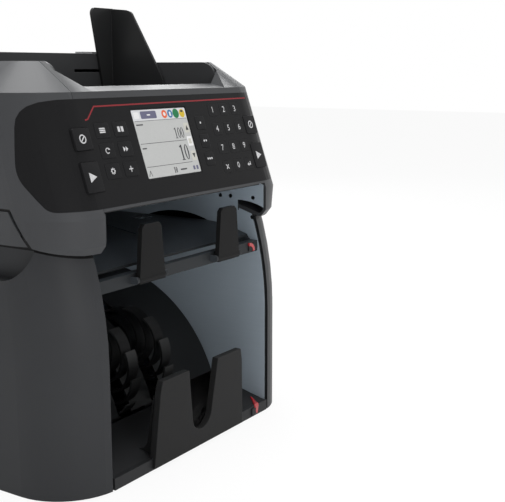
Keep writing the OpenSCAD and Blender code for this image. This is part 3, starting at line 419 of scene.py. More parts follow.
def keep_piece(name, mesh, body, slot, materials, stands_for=()):
    """A finished piece: mesh in place, object at the origin, riding on its body."""
    mesh.name = name
    for k, one in enumerate(materials):
        if k < len(mesh.materials):
            mesh.materials[k] = one
        else:
            mesh.materials.append(one)
    made = bpy.data.objects.new(name, mesh)
    bpy.context.scene.collection.objects.link(made)
    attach(made, body)
    if stands_for:
        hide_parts(*stands_for)
    return made


def evaluated_mesh(made):
    """The plain mesh that an object's modifiers give; the object itself is removed."""
    bpy.context.view_layer.update()
    graph = bpy.context.evaluated_depsgraph_get()
    mesh = bpy.data.meshes.new_from_object(made.evaluated_get(graph))
    old = made.data
    made.modifiers.clear()
    bpy.data.objects.remove(made)
    if isinstance(old, bpy.types.Mesh):
        bpy.data.meshes.remove(old)
    return mesh


def merged_copy(node):
    """The node's triangles as one closed mesh with its flat areas joined."""
    mesh = nodes[node].data.copy()
    shell = bmesh.new()
    shell.from_mesh(mesh)
    bmesh.ops.remove_doubles(shell, verts=shell.verts, dist=2e-6)
    bmesh.ops.dissolve_limit(shell, angle_limit=math.radians(0.4), verts=shell.verts, edges=shell.edges)
    shell.to_mesh(mesh)
    shell.free()
    return mesh


GUIDE_HIGH, GUIDE_FLANGE, GUIDE_BACK = 340, 90, 10
CORNER_RADIUS, CORNER_STEPS = 2.0, 5


def guide_corner(edge):
    """The upper corners of a note guide: across its flange, and across its broad plate."""
    one, two = (v.co / MM for v in edge.verts)
    middle, way = (one + two) / 2, (two - one).normalized()
    flange = abs(way.y) > 0.99 and abs(middle.x) < GUIDE_FLANGE
    plate = abs(way.x) > 0.99 and abs(middle.x) > GUIDE_FLANGE and middle.y < GUIDE_BACK
    return middle.z > GUIDE_HIGH and (flange or plate)


def round_guide(mesh):
    """A wide round on the upper corners of a note guide."""
    shell = bmesh.new()
    shell.from_mesh(mesh)
    found = [e for e in shell.edges if len(e.link_faces) == 2 and guide_corner(e)]
    bmesh.ops.bevel(shell, geom=found, offset=CORNER_RADIUS * MM, segments=CORNER_STEPS, profile=0.5,
                    affect="EDGES")
    shell.to_mesh(mesh)
    shell.free()


SHARP = math.radians(28)


def smooth_mesh(node, width, segments=2):
    """A merged copy with bevelled edges; its edge attribute marks the bevels."""
    mesh = merged_copy(node)
    if node.startswith("guide_"):
        round_guide(mesh)
    mesh.materials.clear()
    mesh.materials.append(paint["charcoal_cover"])
    mesh.materials.append(paint["dark_plastic"])
    for face in mesh.polygons:
        face.material_index = 0
    mesh.shade_smooth()
    mesh.set_sharp_from_angle(angle=SHARP)
    made = bpy.data.objects.new("work", mesh)
    bpy.context.scene.collection.objects.link(made)
    bevel = made.modifiers.new("bevel", "BEVEL")
    bevel.width, bevel.segments, bevel.limit_method = width * MM, segments, "ANGLE"
    bevel.angle_limit = SHARP
    bevel.use_clamp_overlap = True
    bevel.harden_normals = False
    bevel.material = 1
    bevel.miter_outer = "MITER_ARC"
    weighted = made.modifiers.new("normals", "WEIGHTED_NORMAL")
    weighted.keep_sharp = True
    weighted.weight = 60
    result = evaluated_mesh(made)
    edge = result.attributes.new("edge", "FLOAT", "FACE")
    edge.data.foreach_set("value", [float(f.material_index == 1) for f in result.polygons])
    result.materials.clear()
    return result


def dress(node, width):
    """A smooth copy in the node's finish, with a darker second finish as painted shade where a rule on
    its normals says so.
    """
    slot = slot_of_node[node]
    mesh = smooth_mesh(node, width)
    finishes = [FINISH_OF_NODE.get(node, paint[slot])]
    if node in SECOND_FINISH:
        rule, second = SECOND_FINISH[node]
        finishes.append(paint[second])
        for face in mesh.polygons:
            face.material_index = int(rule(face.normal))
    keep_piece(node + "_skin", mesh, body_of_node[node], slot, finishes, [node])
    print(f"{node}: {len(nodes[node].data.polygons)} triangles became {len(mesh.polygons)} faces")


# painted shade: faces that lie in shade get a darker second finish: the lower covers' faces into the
# pocket, the side plates' edges and the head frame's front edges turn black, and the rail's front faces
# take a darker coat
SECOND_FINISH = {
    "lower_left_cover": (lambda n: n.x > 0.6, "black_plastic"),
    "lower_right_cover": (lambda n: n.x < -0.6, "black_plastic"),
    "left_side_plate": (lambda n: abs(n.x) < 0.8, "black_plastic"),
    "right_side_plate": (lambda n: abs(n.x) < 0.8, "black_plastic"),
    "head_frame": (lambda n: abs(n.x) < 0.8 and n.y < -0.3, "black_plastic"),
    "reject_tray": (lambda n: n.y < -0.5, "rail_coat"),
}
FINISH_OF_NODE = {
    "reject_stop_left": paint["stop_blade"], "reject_stop_right": paint["stop_blade"],
    "lower_left_cover": paint["seamed_cover"], "lower_right_cover": paint["seamed_cover"],
    "head_left_cover": paint["grip_cover"], "head_right_cover": paint["grip_cover"],
}
EDGE_RADII = {
    "lower_left_cover": 0.6, "lower_right_cover": 0.6, "lower_rear_cover": 0.4,
    "head_left_cover": 0.6, "head_right_cover": 0.6, "head_centre_cover": 0.5,
    "control_overlay": 0.15, "hopper_tray": 0.5, "guide_left": 0.6, "guide_right": 0.6,
    "stop_plate": 1.5, "reject_stop_left": 1.2, "reject_stop_right": 1.2, "reject_tray": 0.5,
    "base_tray": 0.5, "head_frame": 0.25, "left_side_plate": 0.25, "right_side_plate": 0.25,
    "stacker_chute": 0.4, "mains_inlet": 0.3, "power_rocker": 0.4, "cover_screws": 0.15,
    "rubber_feet": 0.2, "stacker_shaft": 0.3, "feed_roller": 0.5, "motor_pulley": 0.2,
    "drive_motor": 0.6, "power_supply": 0.3, "hinge_pins": 0.2, "drive_belt": 0.2, "keypad_board": 0.2,
}
for node, radius in EDGE_RADII.items():
    dress(node, radius)

# %% [markdown]
# ## Stacker wheels
# The bladed wheels catch each note and lay it on the stack. Their shape follows a rule: one curved
# blade, repeated round a hub. That is a job for Geometry Nodes: an arc with a thinning tip is swept
# into a blade, instanced on the points of a circle, joined to the hub and realised into plain faces.


# %% Build the wheel tree
def new_tree(name, sizes):
    """A geometry tree with named number inputs; returns it, a wire, and the inputs by name."""
    tree = bpy.data.node_groups.new(name, "GeometryNodeTree")
    kinds = {int: "NodeSocketInt", float: "NodeSocketFloat", bpy.types.Material: "NodeSocketMaterial"}
    for key, value in sizes.items():
        kind = next(k for t, k in kinds.items() if isinstance(value, t))
        tree.interface.new_socket(key, in_out="INPUT", socket_type=kind)
    tree.interface.new_socket("Geometry", in_out="OUTPUT", socket_type="NodeSocketGeometry")
    entry = tree.nodes.new("NodeGroupInput")
    return tree, Wire(tree), {s.name: Wire(tree, s) for s in entry.outputs if s.name}


def close_tree(wire, shape, material):
    shape = wire.node("GeometryNodeRealizeInstances", (), {"Geometry": shape})
    shape = wire.node("GeometryNodeSetMaterial", (), {"Geometry": shape, "Material": material})
    wire.node("NodeGroupOutput", (), {"Geometry": shape})


def run_tree(tree, sizes):
    """The plain mesh that a tree gives for these sizes."""
    made = bpy.data.objects.new("work", bpy.data.meshes.new("work"))
    bpy.context.scene.collection.objects.link(made)
    modifier = made.modifiers.new("tree", "NODES")
    modifier.node_group = tree
    for item in tree.interface.items_tree:
        if item.in_out == "INPUT":
            modifier[item.identifier] = sizes[item.name]
    return evaluated_mesh(made)


WHEEL = {
    "Blades": 12, "Arc radius": 25.2 * MM, "Arc offset": 20.0 * MM, "Width": 12.0 * MM,
    "Thickness": 1.6 * MM, "Hub middle": 9.55 * MM, "Hub wall": 8.9 * MM, "Finish": paint["wheel_rubber"],
}
tree, wire, size = new_tree("bladed_wheel", WHEEL)
arc = wire.node("GeometryNodeCurveArc", {"mode": "RADIUS"}, {
    "Resolution": 28, "Radius": size["Arc radius"], "Start Angle": 0.0, "Sweep Angle": math.radians(168)})
along = wire.node("GeometryNodeSplineParameter", out="Factor")
thinning = wire.math("MINIMUM", along * 1.6 + 0.25, 1.0)
arc = wire.node("GeometryNodeSetCurveRadius", (), {"Curve": arc, "Radius": thinning})
# share that marks the blade tip for its painted glint
tip_glint_share = wire.math("MAXIMUM", 1 - along * 5.0, 0.0)
arc = wire.node("GeometryNodeStoreNamedAttribute", {"data_type": "FLOAT", "domain": "POINT"}, {
    "Geometry": arc, "Name": "tip", "Value": tip_glint_share})
strip = wire.node("GeometryNodeCurvePrimitiveQuadrilateral", {"mode": "RECTANGLE"}, {
    "Width": size["Thickness"], "Height": size["Width"]})
blade = wire.node("GeometryNodeCurveToMesh", (), {
    "Curve": arc, "Profile Curve": strip, "Fill Caps": True})
shift = wire.node("ShaderNodeCombineXYZ", (), {"X": size["Arc offset"]})
blade = wire.node("GeometryNodeTransform", (), {"Geometry": blade, "Translation": shift})
spots = wire.node("GeometryNodeMeshCircle", (), {"Vertices": size["Blades"], "Radius": 0.00001})
index = wire.node("GeometryNodeInputIndex")
turn = wire.node("ShaderNodeCombineXYZ", (), {"Z": index * wire.math("DIVIDE", math.tau, size["Blades"])})
blades = wire.node("GeometryNodeInstanceOnPoints", (), {
    "Points": spots, "Instance": blade, "Rotation": turn})
ring = wire.node("GeometryNodeCurvePrimitiveCircle", (), {"Resolution": 48, "Radius": size["Hub middle"]})
wall = wire.node("GeometryNodeCurvePrimitiveQuadrilateral", {"mode": "RECTANGLE"}, {
    "Width": size["Hub wall"], "Height": size["Width"]})
hub = wire.node("GeometryNodeCurveToMesh", (), {"Curve": ring, "Profile Curve": wall})
joined = wire.node("GeometryNodeJoinGeometry", (), {"Geometry": [hub, blades]})
close_tree(wire, joined, size["Finish"])
wheel_tree = tree
print("wheel tree:", len(tree.nodes), "nodes")

# %% [markdown]
# The tree makes its wheel flat on the ground, with the axis upright. A matrix that swaps the axes
# stands it up on the shaft, which lies along X. Both wheels sit on the same shaft, so both ride on
# the stacker body and turn together.

# %% Place the wheels
WHEEL_AXIS = Vector((0, -0.054, 0.056))
STAND_ON_X = Matrix(((0, 0, 1, 0), (1, 0, 0, 0), (0, 1, 0, 0), (0, 0, 0, 1)))


SOFT_EDGE = math.radians(35)


def tidy_mesh(mesh):
    """Doubles merged, faces outwards, smooth by angle."""
    shell = bmesh.new()
    shell.from_mesh(mesh)
    bmesh.ops.remove_doubles(shell, verts=shell.verts, dist=1e-6)
    bmesh.ops.recalc_face_normals(shell, faces=shell.faces)
    shell.to_mesh(mesh)
    shell.free()
    mesh.shade_smooth()
    mesh.set_sharp_from_angle(angle=SOFT_EDGE)


for side in ("left", "right"):
    node = "stacker_wheel_" + side
    low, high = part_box(node)
    mesh = run_tree(wheel_tree, WHEEL)
    mesh.transform(Matrix.Translation((low.x / 2 + high.x / 2, WHEEL_AXIS.y, WHEEL_AXIS.z)) @ STAND_ON_X)
    tidy_mesh(mesh)
    finishes = [paint["wheel_rubber"]]
    made = keep_piece("bladed_wheel_" + side, mesh, "stacker", "wheel_rubber", finishes, [node])
    print(made.name, len(mesh.polygons), "faces")

# %% [markdown]
# ## Panel coordinates
# Everything printed on the control panel lies in one tilted plane. A matrix takes flat drawings there:
# x runs to the right, y up along the panel and z out of it. Its inverse measures a CAD key in the same
# terms, so a legend is centred on its key without any typed position.

# %% The panel plane
PANEL_TILT = math.radians(18.3)
PANEL_FOOT = Vector((0, -145.5, 204)) * MM


def panel_matrix(x, s, out):
    """Millimetres to the right of the middle, up along the panel and out of it, as a place in metres."""
    right, up = Vector((1, 0, 0)), Vector((0, math.sin(PANEL_TILT), math.cos(PANEL_TILT)))
    normal = right.cross(up)
    spot = PANEL_FOOT + (right * x + up * s + normal * out) * MM
    return Matrix.Translation(spot) @ Matrix((right, up, normal)).transposed().to_4x4()


def panel_span(node):
    """Lowest and highest x, s and out of a node, in millimetres."""
    inverse = panel_matrix(0, 0, 0).inverted()
    spots = [inverse @ v.co / MM for v in nodes[node].data.vertices]
    return [(min(p[k] for p in spots), max(p[k] for p in spots)) for k in range(3)]


print("display spans", [tuple(round(v, 1) for v in pair) for pair in panel_span("display_module")])

# %% [markdown]
# Prints are thin but real: each mark is a prism a few hundredths of a millimetre high, so the mesh
# has it too. One helper raises any outline into a prism, another does the same for digits, which
# are plain numbers as on any keypad.


# %% Marks
def add_prism(shell, outline, low, high, place, material=0):
    """A closed prism over a 2-D outline in millimetres, counter-clockwise, put in place by a matrix."""
    rings = [[shell.verts.new(place @ (Vector((x, y, z)) * MM)) for x, y in outline] for z in (low, high)]
    count = len(outline)
    faces = [shell.faces.new(rings[1]), shell.faces.new(rings[0][::-1])]
    for i in range(count):
        j = (i + 1) % count
        faces.append(shell.faces.new((rings[0][i], rings[0][j], rings[1][j], rings[1][i])))
    for face in faces:
        face.material_index = material


def disc(x, y, radius, count=28):
    return [(x + radius * math.cos(math.tau * k / count), y + radius * math.sin(math.tau * k / count))
            for k in range(count)]


def block(x0, y0, x1, y1, radius=0.0):
    if not radius:
        return [(x0, y0), (x1, y0), (x1, y1), (x0, y1)]
    corners = [(x1 - radius, y1 - radius, 0), (x0 + radius, y1 - radius, 90),
               (x0 + radius, y0 + radius, 180), (x1 - radius, y0 + radius, 270)]
    turns = [(cx, cy, math.radians(a + 15 * k)) for cx, cy, a in corners for k in range(7)]
    return [(cx + radius * math.cos(a), cy + radius * math.sin(a)) for cx, cy, a in turns]


def stroke(x0, y0, x1, y1, width):
    dx, dy = x1 - x0, y1 - y0
    size = math.hypot(dx, dy)
    nx, ny = -dy / size * width / 2, dx / size * width / 2
    return [(x0 - nx, y0 - ny), (x1 - nx, y1 - ny), (x1 + nx, y1 + ny), (x0 + nx, y0 + ny)]


def arc_band(x, y, radius, width, start, end, steps=20):
    spots = [(math.radians(start + (end - start) * k / steps)) for k in range(steps + 1)]
    outer, inner = ([(x + r * math.cos(a), y + r * math.sin(a)) for a in spots]
                    for r in (radius + width / 2, radius - width / 2))
    return outer + inner[::-1]


def add_digits(shell, text, size, low, high, place, material):
    """Numbers as closed solids, size in millimetres, made a mesh before their place is applied."""
    font = bpy.data.curves.new("digits", "FONT")
    font.body, font.size, font.align_x, font.align_y = text, size * MM, "CENTER", "CENTER"
    font.extrude = (high - low) / 2 * MM
    font.resolution_u = 4
    made = bpy.data.objects.new("work", font)
    bpy.context.scene.collection.objects.link(made)
    mesh = evaluated_mesh(made)
    bpy.data.curves.remove(font)
    mesh.transform(place @ Matrix.Translation((0, 0, (low + high) / 2 * MM)))
    before = len(shell.faces)
    shell.from_mesh(mesh)
    shell.faces.ensure_lookup_table()
    for face in shell.faces[before:]:
        face.material_index = material
    bpy.data.meshes.remove(mesh)


def shell_mesh(shell, name):
    mesh = bpy.data.meshes.new(name)
    bmesh.ops.remove_doubles(shell, verts=shell.verts, dist=5e-7)
    bmesh.ops.recalc_face_normals(shell, faces=shell.faces)
    shell.to_mesh(mesh)
    shell.free()
    return mesh


def ink(name, colour, rough=0.5, glow=0.0):
    """Screen-print ink or a lit patch of the display: slightly uneven cover, slightly uneven gloss."""
    def recipe(wire):
        cover = wire.noise(1400.0, 3.0)
        found = {
            "Base Color": wire.blend(cover, shade(colour, 0.9), shade(colour, 1.08)),
            "Roughness": rough + cover * 0.12,
        }
        if glow:
            found["Emission Color"] = wire.blend(cover, shade(colour, 0.95), shade(colour, 1.05))
        return found

    return finish(name, recipe, Emission_Strength=glow, Specular_IOR_Level=0.2)


white_ink = ink("white_ink", (0.58, 0.58, 0.59))
red_ink = ink("red_ink", (0.230, 0.020, 0.026), 0.4)
print("marks ready")

# %% [markdown]
# ## Keys
# Each key is a rubber cap that stands just out of the film. The number keys carry their digit. The
# others carry plain signs: arrows for speed and repeat, a plus, bars for a bundle, a ring with teeth
# for settings, a triangle to start and a barred ring to clear. Cap and print are one piece, with two
# finishes. The picture shows hardly any edge on the small keys, so their caps are sunk a little.

# %% Legends
DOT = 0.9
FULL_TURN = 359.9
LEGENDS = {
    "key_function_1": [block(-3, -1.9, 3, -0.9), block(-3, -0.5, 3, 0.5), block(-3, 0.9, 3, 1.9)],
    "key_function_2": [block(-3.2, -2, -0.6, 2), block(0.6, -2, 3.2, 2)],
    "key_function_3": [arc_band(0, 0, 1.9, 0.7, 40, 320), [(0.7, 0.6), (2.9, 0.6), (1.8, 2.2)]],
    "key_function_4": [[(-2.6, -2), (-0.2, 0), (-2.6, 2)], [(0.2, -2), (2.6, 0), (0.2, 2)]],
    "key_function_5": [arc_band(0, 0, 1.5, 0.8, 0, FULL_TURN, 36)] + [
        stroke(1.7 * math.cos(a), 1.7 * math.sin(a), 2.5 * math.cos(a), 2.5 * math.sin(a), 0.8)
        for a in [math.tau * k / 8 for k in range(8)]],
    "key_function_6": [[(-2.2, -0.4), (-0.4, -0.4), (-0.4, -2.2), (0.4, -2.2), (0.4, -0.4), (2.2, -0.4),
                        (2.2, 0.4), (0.4, 0.4), (0.4, 2.2), (-0.4, 2.2), (-0.4, 0.4), (-2.2, 0.4)]],
    "key_soft_1": [disc(0, 0, DOT)],
    "key_soft_2": [disc(-1.4, 0, DOT), disc(1.4, 0, DOT)],
    "key_soft_3": [disc(-2.6, 0, DOT), disc(0, 0, DOT), disc(2.6, 0, DOT)],
    "key_cancel": [stroke(-1.8, -1.8, 1.8, 1.8, 0.8), stroke(-1.8, 1.8, 1.8, -1.8, 0.8)],
    "key_enter": [[(-2.6, -0.6), (-0.6, -2.2), (-0.6, -1.1), (2.4, -1.1), (2.4, 1.9), (1.4, 1.9),
                   (1.4, -0.1), (-0.6, -0.1), (-0.6, 1.0)]],
}
for side in ("left", "right"):
    barred_ring = [arc_band(0, 0, 2.9, 0.9, 0, FULL_TURN, 40), stroke(-2.0, -2.0, 2.0, 2.0, 0.9)]
    LEGENDS["key_clear_" + side] = barred_ring
    LEGENDS["key_start_" + side] = [[(-3.2, -3.6), (4.0, 0), (-3.2, 3.6)]]
INK_LOW, INK_HIGH = -0.05, 0.03
FLUSH, LOW_RISE, FILL, NUMBER_KEY = 0.12, 0.45, 0.18, 16
DIGIT_SIZE, CAP_EDGE = 7.2, 0.45


def sink_cap(cap, place, rise, left, width, height):
    """A small key stands out by what is left of its rise, and fills its hole a little more."""
    cap.transform(place.inverted())
    for spot in cap.vertices:
        depth = spot.co.z / MM + rise
        spot.co.x *= 1 + 2 * FILL / width
        spot.co.y *= 1 + 2 * FILL / height
        spot.co.z = (depth * left / rise if depth > 0 else depth) * MM
    cap.transform(place @ Matrix.Translation((0, 0, -rise * MM)))


for node in [n for n in nodes if n.startswith("key_")]:
    (x0, x1), (s0, s1), (_, out) = panel_span(node)
    place = panel_matrix((x0 + x1) / 2, (s0 + s1) / 2, out)
    cap = smooth_mesh(node, CAP_EDGE, segments=3)
    small = "function" in node or "soft" in node
    if small or x1 - x0 < NUMBER_KEY:
        left = LOW_RISE * out if small else FLUSH
        sink_cap(cap, place, out, left, x1 - x0, s1 - s0)
        place = place @ Matrix.Translation((0, 0, (left - out) * MM))
    mark = bmesh.new()
    for outline in LEGENDS.get(node, []):
        add_prism(mark, outline, INK_LOW, INK_HIGH, place, 1)
    if node not in LEGENDS:
        add_digits(mark, node[-1], DIGIT_SIZE, INK_LOW, INK_HIGH, place, 1)
    mark.from_mesh(cap)
    mesh = bpy.data.meshes.new(node)
    bmesh.ops.recalc_face_normals(mark, faces=[f for f in mark.faces if f.material_index == 1])
    mark.to_mesh(mesh)
    mark.free()
    mesh.set_sharp_from_angle(angle=SHARP)
    finishes = [paint["key_rubber"], white_ink]
    keep_piece(node + "_cap", mesh, body_of_node[node], "key_rubber", finishes, [node])

# %% [markdown]
# ## Display
# The screen is a pale grey panel with a bar of round tokens on top, two large numbers between thin
# rules, a narrow column of buttons on the right and a strip at the foot. All of it is generic: plain
# numbers and plain shapes, each a thin prism with its own lit finish, so the screen reads from a step
# away and stays sharp close up. A clear pane would only add reflections that the picture doesn't show.

# %% Draw the screen
(x0, x1), (s0, s1), (_, out) = panel_span("display_module")
SCREEN_W, SCREEN_H = x1 - x0, s1 - s0
place = panel_matrix(x0, s0, out)
GLOW = 0.22
screen_inks = {
    "field": (0.40, 0.405, 0.40), "bar": (0.52, 0.525, 0.54), "frame": (0.012, 0.012, 0.014),
    "text": (0.030, 0.030, 0.034), "slate": (0.105, 0.105, 0.165), "orange": (0.60, 0.110, 0.045),
    "blue": (0.055, 0.150, 0.300), "green": (0.010, 0.140, 0.050), "yellow": (0.50, 0.36, 0.030),
    "cream": (0.46, 0.455, 0.41), "pale": (0.62, 0.62, 0.62),
}
names = list(screen_inks)
inks = [ink("screen_" + n, c, 0.28, 0.0 if n == "frame" else GLOW) for n, c in screen_inks.items()]
RIGHT = SCREEN_W - 9.0
BAR = SCREEN_H - 9.5
LINE_1, LINE_2 = 27.5, 9.5
layers = [
    ("frame", 0, block(0.1, 0.1, SCREEN_W - 0.1, SCREEN_H - 0.1, 1.4)),
    ("field", 1, block(1.0, 1.0, SCREEN_W - 1.0, SCREEN_H - 1.0, 0.8)),
    ("bar", 2, block(1.0, BAR, SCREEN_W - 1.0, SCREEN_H - 1.0, 0.8)),
    ("slate", 3, block(11.0, BAR + 1.4, 30.0, SCREEN_H - 2.2, 1.0)),
    ("pale", 4, block(18.5, BAR + 3.8, 22.5, BAR + 4.8, 0.4)),
    ("pale", 3, block(3.0, BAR + 1.8, 9.0, SCREEN_H - 2.6, 0.6)),
    ("orange", 3, disc(40.0, BAR + 4.2, 3.3)),
    ("pale", 4, disc(40.0, BAR + 4.2, 1.5)),
    ("blue", 3, disc(47.2, BAR + 4.2, 3.3)),
    ("pale", 4, block(46.2, BAR + 2.4, 48.2, BAR + 5.8, 0.5)),
    ("green", 3, disc(54.6, BAR + 4.2, 3.9)),
    ("yellow", 3, disc(62.6, BAR + 4.0, 3.4)),
    ("text", 4, block(61.0, BAR + 5.0, 64.2, BAR + 6.6, 0.6)),
    ("text", 2, block(2.5, LINE_1, RIGHT, LINE_1 + 0.35)),
    ("text", 2, block(2.5, LINE_2, RIGHT, LINE_2 + 0.35)),
    ("text", 2, block(2.5, BAR - 0.3, SCREEN_W - 2.0, BAR)),
    ("text", 2, block(3.0, 42.0, 11.0, 42.9)),
    ("text", 2, block(3.0, 23.6, 8.0, 24.5)),
    ("cream", 2, block(RIGHT + 1.0, 33.5, SCREEN_W - 1.8, 41.5, 0.8)),
    ("text", 3, [(RIGHT + 2.6, 35.6), (RIGHT + 6.2, 35.6), (RIGHT + 4.4, 39.6)]),
    ("pale", 2, block(RIGHT + 1.0, 22.5, SCREEN_W - 1.8, 30.5, 0.8)),
    ("cream", 3, block(RIGHT + 2.4, 24.4, SCREEN_W - 3.2, 28.6, 0.6)),
    ("cream", 2, block(RIGHT + 1.0, 10.5, SCREEN_W - 1.8, 18.5, 0.8)),
    ("text", 3, [(RIGHT + 2.6, 16.4), (RIGHT + 4.4, 12.6), (RIGHT + 6.2, 16.4)]),
    ("text", 2, block(42.0, 4.2, 50.0, 5.3, 0.3)),
    ("text", 2, stroke(2.6, 2.4, 5.0, 6.8, 0.5)),
    ("text", 2, stroke(5.0, 6.8, 6.4, 2.4, 0.5)),
    ("slate", 2, block(RIGHT - 1.0, 3.2, RIGHT + 1.6, 6.4, 0.4)),
    ("slate", 2, block(RIGHT + 3.2, 3.2, RIGHT + 5.8, 6.4, 0.4)),
]
STEP = 0.04


ONE_MIDDLE, ONE_HALF = 0.23, 0.06  # the parts of a numeral are shares of its height
ONE_FOOT = (0.06, 0.40, 0.05)
ONE_FLAG = [(0.04, 0.83), (0.18, 0.86), (0.18, 0.98), (0.04, 0.88)]
NOUGHT_MIDDLE, NOUGHT_HALF, NOUGHT_SIDE, NOUGHT_JOIN = 0.24, 0.21, 0.105, 0.045
NOUGHT_STEPS, NOUGHT_START, NOUGHT_SWEEP = 36, 90.3, 359.4


def numeral(kind, x, y, height, weight):
    """A slim 0 or 1 with thick uprights and thin joins, its lower left corner at x, y."""
    def placed(spots):
        return [(x + height * u, y + height * v) for u, v in spots]

    if kind == "1":
        half = ONE_HALF * weight
        left, right, top = ONE_FOOT
        return [placed(block(ONE_MIDDLE - half, 0, ONE_MIDDLE + half, 1)),
                placed(block(left, 0, right, top)), placed(ONE_FLAG)]
    shares = [k / NOUGHT_STEPS for k in range(NOUGHT_STEPS + 1)]
    turns = [math.radians(NOUGHT_START + NOUGHT_SWEEP * share) for share in shares]
    outer, inner = ([(NOUGHT_MIDDLE + wide * math.cos(a), 0.5 + tall * math.sin(a)) for a in turns]
                    for wide, tall in ((NOUGHT_HALF, 0.5),
                                       (NOUGHT_HALF - NOUGHT_SIDE * weight, 0.5 - NOUGHT_JOIN * weight)))
    return [placed(outer + inner[::-1])]


NUMERAL_PITCH = 0.47
LAYER_DEPTH, TEXT_DEPTH = 0.06, 0.06
screen = bmesh.new()
for name, level, outline in layers:
    add_prism(screen, outline, level * STEP - LAYER_DEPTH, level * STEP, place, names.index(name))
TEXT = (2 * STEP - TEXT_DEPTH, 2 * STEP)
NUMBERS = [  # text, height, right end, foot and weight
    ("100", 8.6, RIGHT - 1.0, 29.6, 1.0),
    ("10", 12.4, RIGHT - 1.0, 11.8, 1.1),
    ("10", 4.6, 38.0, 2.7, 1.5),
]
for text, height, right, y, weight in NUMBERS:
    for k, kind in enumerate(reversed(text)):
        for outline in numeral(kind, right - (k + 1) * NUMERAL_PITCH * height, y, height, weight):
            add_prism(screen, outline, *TEXT, place, names.index("text"))
module = merged_copy("display_module")
for face in module.polygons:
    face.material_index = names.index("frame")
screen.from_mesh(module)
mesh = shell_mesh(screen, "display_screen")
keep_piece("display_screen", mesh, "head", "display_glass", inks, ["display_module"])
print("screen", round(SCREEN_W, 1), "x", round(SCREEN_H, 1), "mm,", len(mesh.polygons), "faces")

# %% [markdown]
# ## Red stripe
# A thin red line is printed across the top of the film, with a kink at its left end. It is drawn as one
# bent band in panel coordinates and raised by a few hundredths of a millimetre.

# %% Print the stripe
STRIPE = [(-99.0, 71.0), (-96.0, 71.6), (-86.4, 80.6), (110.4, 81.7)]
STRIPE_W, STRIPE_ROOT, STRIPE_RISE = 1.1, 0.05, 0.04


def band(points, width):
    """Outline of a bent line with mitred corners."""
    left, right = [], []
    for k, spot in enumerate(points):
        here = Vector(spot)
        before = (here - Vector(points[k - 1])).normalized() if k else None
        after = (Vector(points[k + 1]) - here).normalized() if k + 1 < len(points) else None
        along = ((before or after) + (after or before)).normalized()
        side = Vector((-along.y, along.x))
        reach = width / 2 / max(0.5, side.dot(Vector((-(after or before).y, (after or before).x))))
        left.append(tuple(here + side * reach))
        right.append(tuple(here - side * reach))
    return right + left[::-1]


stripe = bmesh.new()
add_prism(stripe, band(STRIPE, STRIPE_W), -STRIPE_ROOT, STRIPE_RISE, panel_matrix(0, 0, 0))
keep_piece("panel_stripe", shell_mesh(stripe, "panel_stripe"), "head", "panel_black", [red_ink])
print("stripe printed")

# %% [markdown]
# ## Lamps
# Three lenses tell the user where to look: a red curl on the rail, a red tongue that bends over the
# front lip, and a green strip in the right corner. The CAD node holds their plain blocks. Two of them
# become dark bezels here, and the red lenses are laid on them: the curl is an arc on the upright face,
# the tongue a strip that follows the tray floor forwards and then turns down over its edge.

# %% Lamps
UPRIGHT = Matrix(((1, 0, 0, 0), (0, 0, -1, 0), (0, 1, 0, 0), (0, 0, 0, 1)))
RAIL_FACE = -136.6 * MM
TONGUE = [  # x, y and z of the middle line on the tray, half the width, and the way out of the tray
    (96.0, -135.6, 12.1, 0.7, (0, 0, 1)), (93.6, -139.6, 11.1, 1.5, (0, 0, 1)),
    (90.6, -143.2, 10.3, 2.5, (0, 0, 1)), (88.2, -146.2, 10.3, 3.1, (0, -0.3, 1)),
    (87.2, -147.0, 9.4, 3.3, (0, -1, 0.3)), (86.6, -147.0, 6.2, 2.9, (0, -1, 0)),
    (86.4, -147.0, 3.2, 1.6, (0, -1, 0)),
]
LENS_HEIGHT, LENS_ROOT = 1.3, 0.6
CURL = {"x": 90.6, "y": 148.4, "radius": 6.6, "width": 2.8, "start": 4, "end": 96}
CURL_HEIGHT = 1.6
STRIP_SINK, STRIP_X = 0.7, 115 * MM

lamps = bmesh.new()
rings = []
for x, y, z, half, out in TONGUE:
    out = Vector(out).normalized()
    spot = Vector((x, y, z))
    sides = [(-half, -LENS_ROOT), (half, -LENS_ROOT), (half, 0.5 * LENS_HEIGHT),
             (0.6 * half, LENS_HEIGHT), (-0.6 * half, LENS_HEIGHT), (-half, 0.5 * LENS_HEIGHT)]
    rings.append([lamps.verts.new((spot + Vector((dx, 0, 0)) + out * dz) * MM) for dx, dz in sides])
for one, two in zip(rings, rings[1:]):
    for k in range(len(one)):
        lamps.faces.new((one[k], one[k - 1], two[k - 1], two[k])).material_index = 1
for ring in (rings[0][::-1], rings[-1]):
    lamps.faces.new(ring).material_index = 1
on_rail = Matrix.Translation((0, RAIL_FACE, 0)) @ UPRIGHT
add_prism(lamps, arc_band(**CURL), 0.0, CURL_HEIGHT, on_rail, 1)
bmesh.ops.recalc_face_normals(lamps, faces=lamps.faces)
bezels = smooth_mesh("signal_lamps", 0.3)
for face in bezels.polygons:
    face.material_index = 2 if face.center.x > STRIP_X else 0
for spot in bezels.vertices:
    if spot.co.x > STRIP_X:
        spot.co += Vector((-STRIP_SINK, STRIP_SINK, 0)) * MM
lamps.from_mesh(bezels)
mesh = bpy.data.meshes.new("signal_lenses")
lamps.to_mesh(mesh)
lamps.free()
finishes = [paint["black_plastic"], paint["lamp_lens"], lamp_green]
keep_piece("signal_lenses", mesh, "body", "lamp_lens", finishes, ["signal_lamps"])
print("lamps:", len(mesh.polygons), "faces")

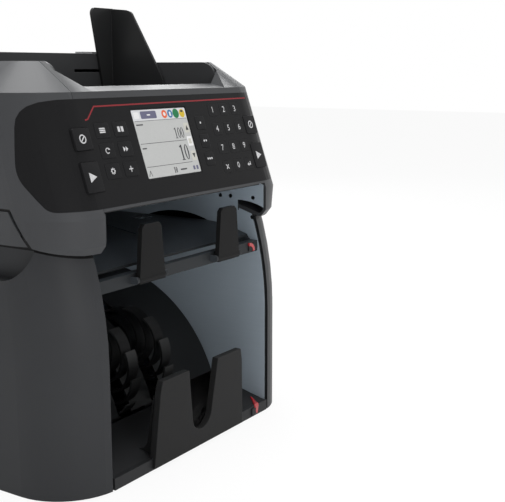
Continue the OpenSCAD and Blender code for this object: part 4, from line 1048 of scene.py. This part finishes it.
# %% [markdown]
# ## Louvres at the back
# Warm air leaves through slats in the rear cover. Slats are the plainest repeat there is: one thin
# block, tilted, on evenly spaced points of a line. Geometry Nodes keeps the count and the spacing as
# two numbers, so another machine of the family only needs other numbers.

# %% Build the louvres
LOUVRES = {
    "Count": 9, "Pitch": 7.5 * MM, "Width": 120.0 * MM, "Depth": 4.0 * MM, "Thickness": 1.3 * MM,
    "Tilt": math.radians(-32), "Finish": paint["charcoal_cover"],
}
LOUVRE_FOOT = Vector((0, 145.4, 72)) * MM
tree, wire, size = new_tree("louvres", LOUVRES)
step = wire.node("ShaderNodeCombineXYZ", (), {"Z": size["Pitch"]})
line = wire.node("GeometryNodeMeshLine", {"mode": "OFFSET"}, {"Count": size["Count"], "Offset": step})
form = wire.node("ShaderNodeCombineXYZ", (), {
    "X": size["Width"], "Y": size["Depth"], "Z": size["Thickness"]})
slat = wire.node("GeometryNodeMeshCube", (), {"Size": form})
lean = wire.node("ShaderNodeCombineXYZ", (), {"X": size["Tilt"]})
slats = wire.node("GeometryNodeInstanceOnPoints", (), {
    "Points": line, "Instance": slat, "Rotation": lean})
close_tree(wire, slats, size["Finish"])
mesh = run_tree(tree, LOUVRES)
mesh.transform(Matrix.Translation(LOUVRE_FOOT))
tidy_mesh(mesh)
rear_body = body_of_node["lower_rear_cover"]
keep_piece("rear_louvres", mesh, rear_body, "charcoal_cover", [paint["charcoal_cover"]])
print("louvres:", len(mesh.polygons), "faces")

# %% [markdown]
# ## Sensor cover
# A small pale cover sits over the tab on the hopper's back. It is a plain moulding, one prism with
# rounded corners that laps over the dark tab by a fraction of a millimetre.

# %% Sensor cover
TAB = {"x0": 83.85, "y0": 44.85, "x1": 96.5, "y1": 55.15, "radius": 0.6}
TAB_LOW, TAB_HIGH = 320.4, 322.4
pale_plastic = moulded("pale_plastic", (0.42, 0.42, 0.43), 0.4, Specular_IOR_Level=0.3)
cover = bmesh.new()
add_prism(cover, block(**TAB), TAB_LOW, TAB_HIGH, Matrix.Identity(4))
keep_piece("sensor_cover", shell_mesh(cover, "sensor_cover"), body_of_node["hopper_tray"],
           slot_of_node["hopper_tray"], [pale_plastic])
print("sensor cover placed")
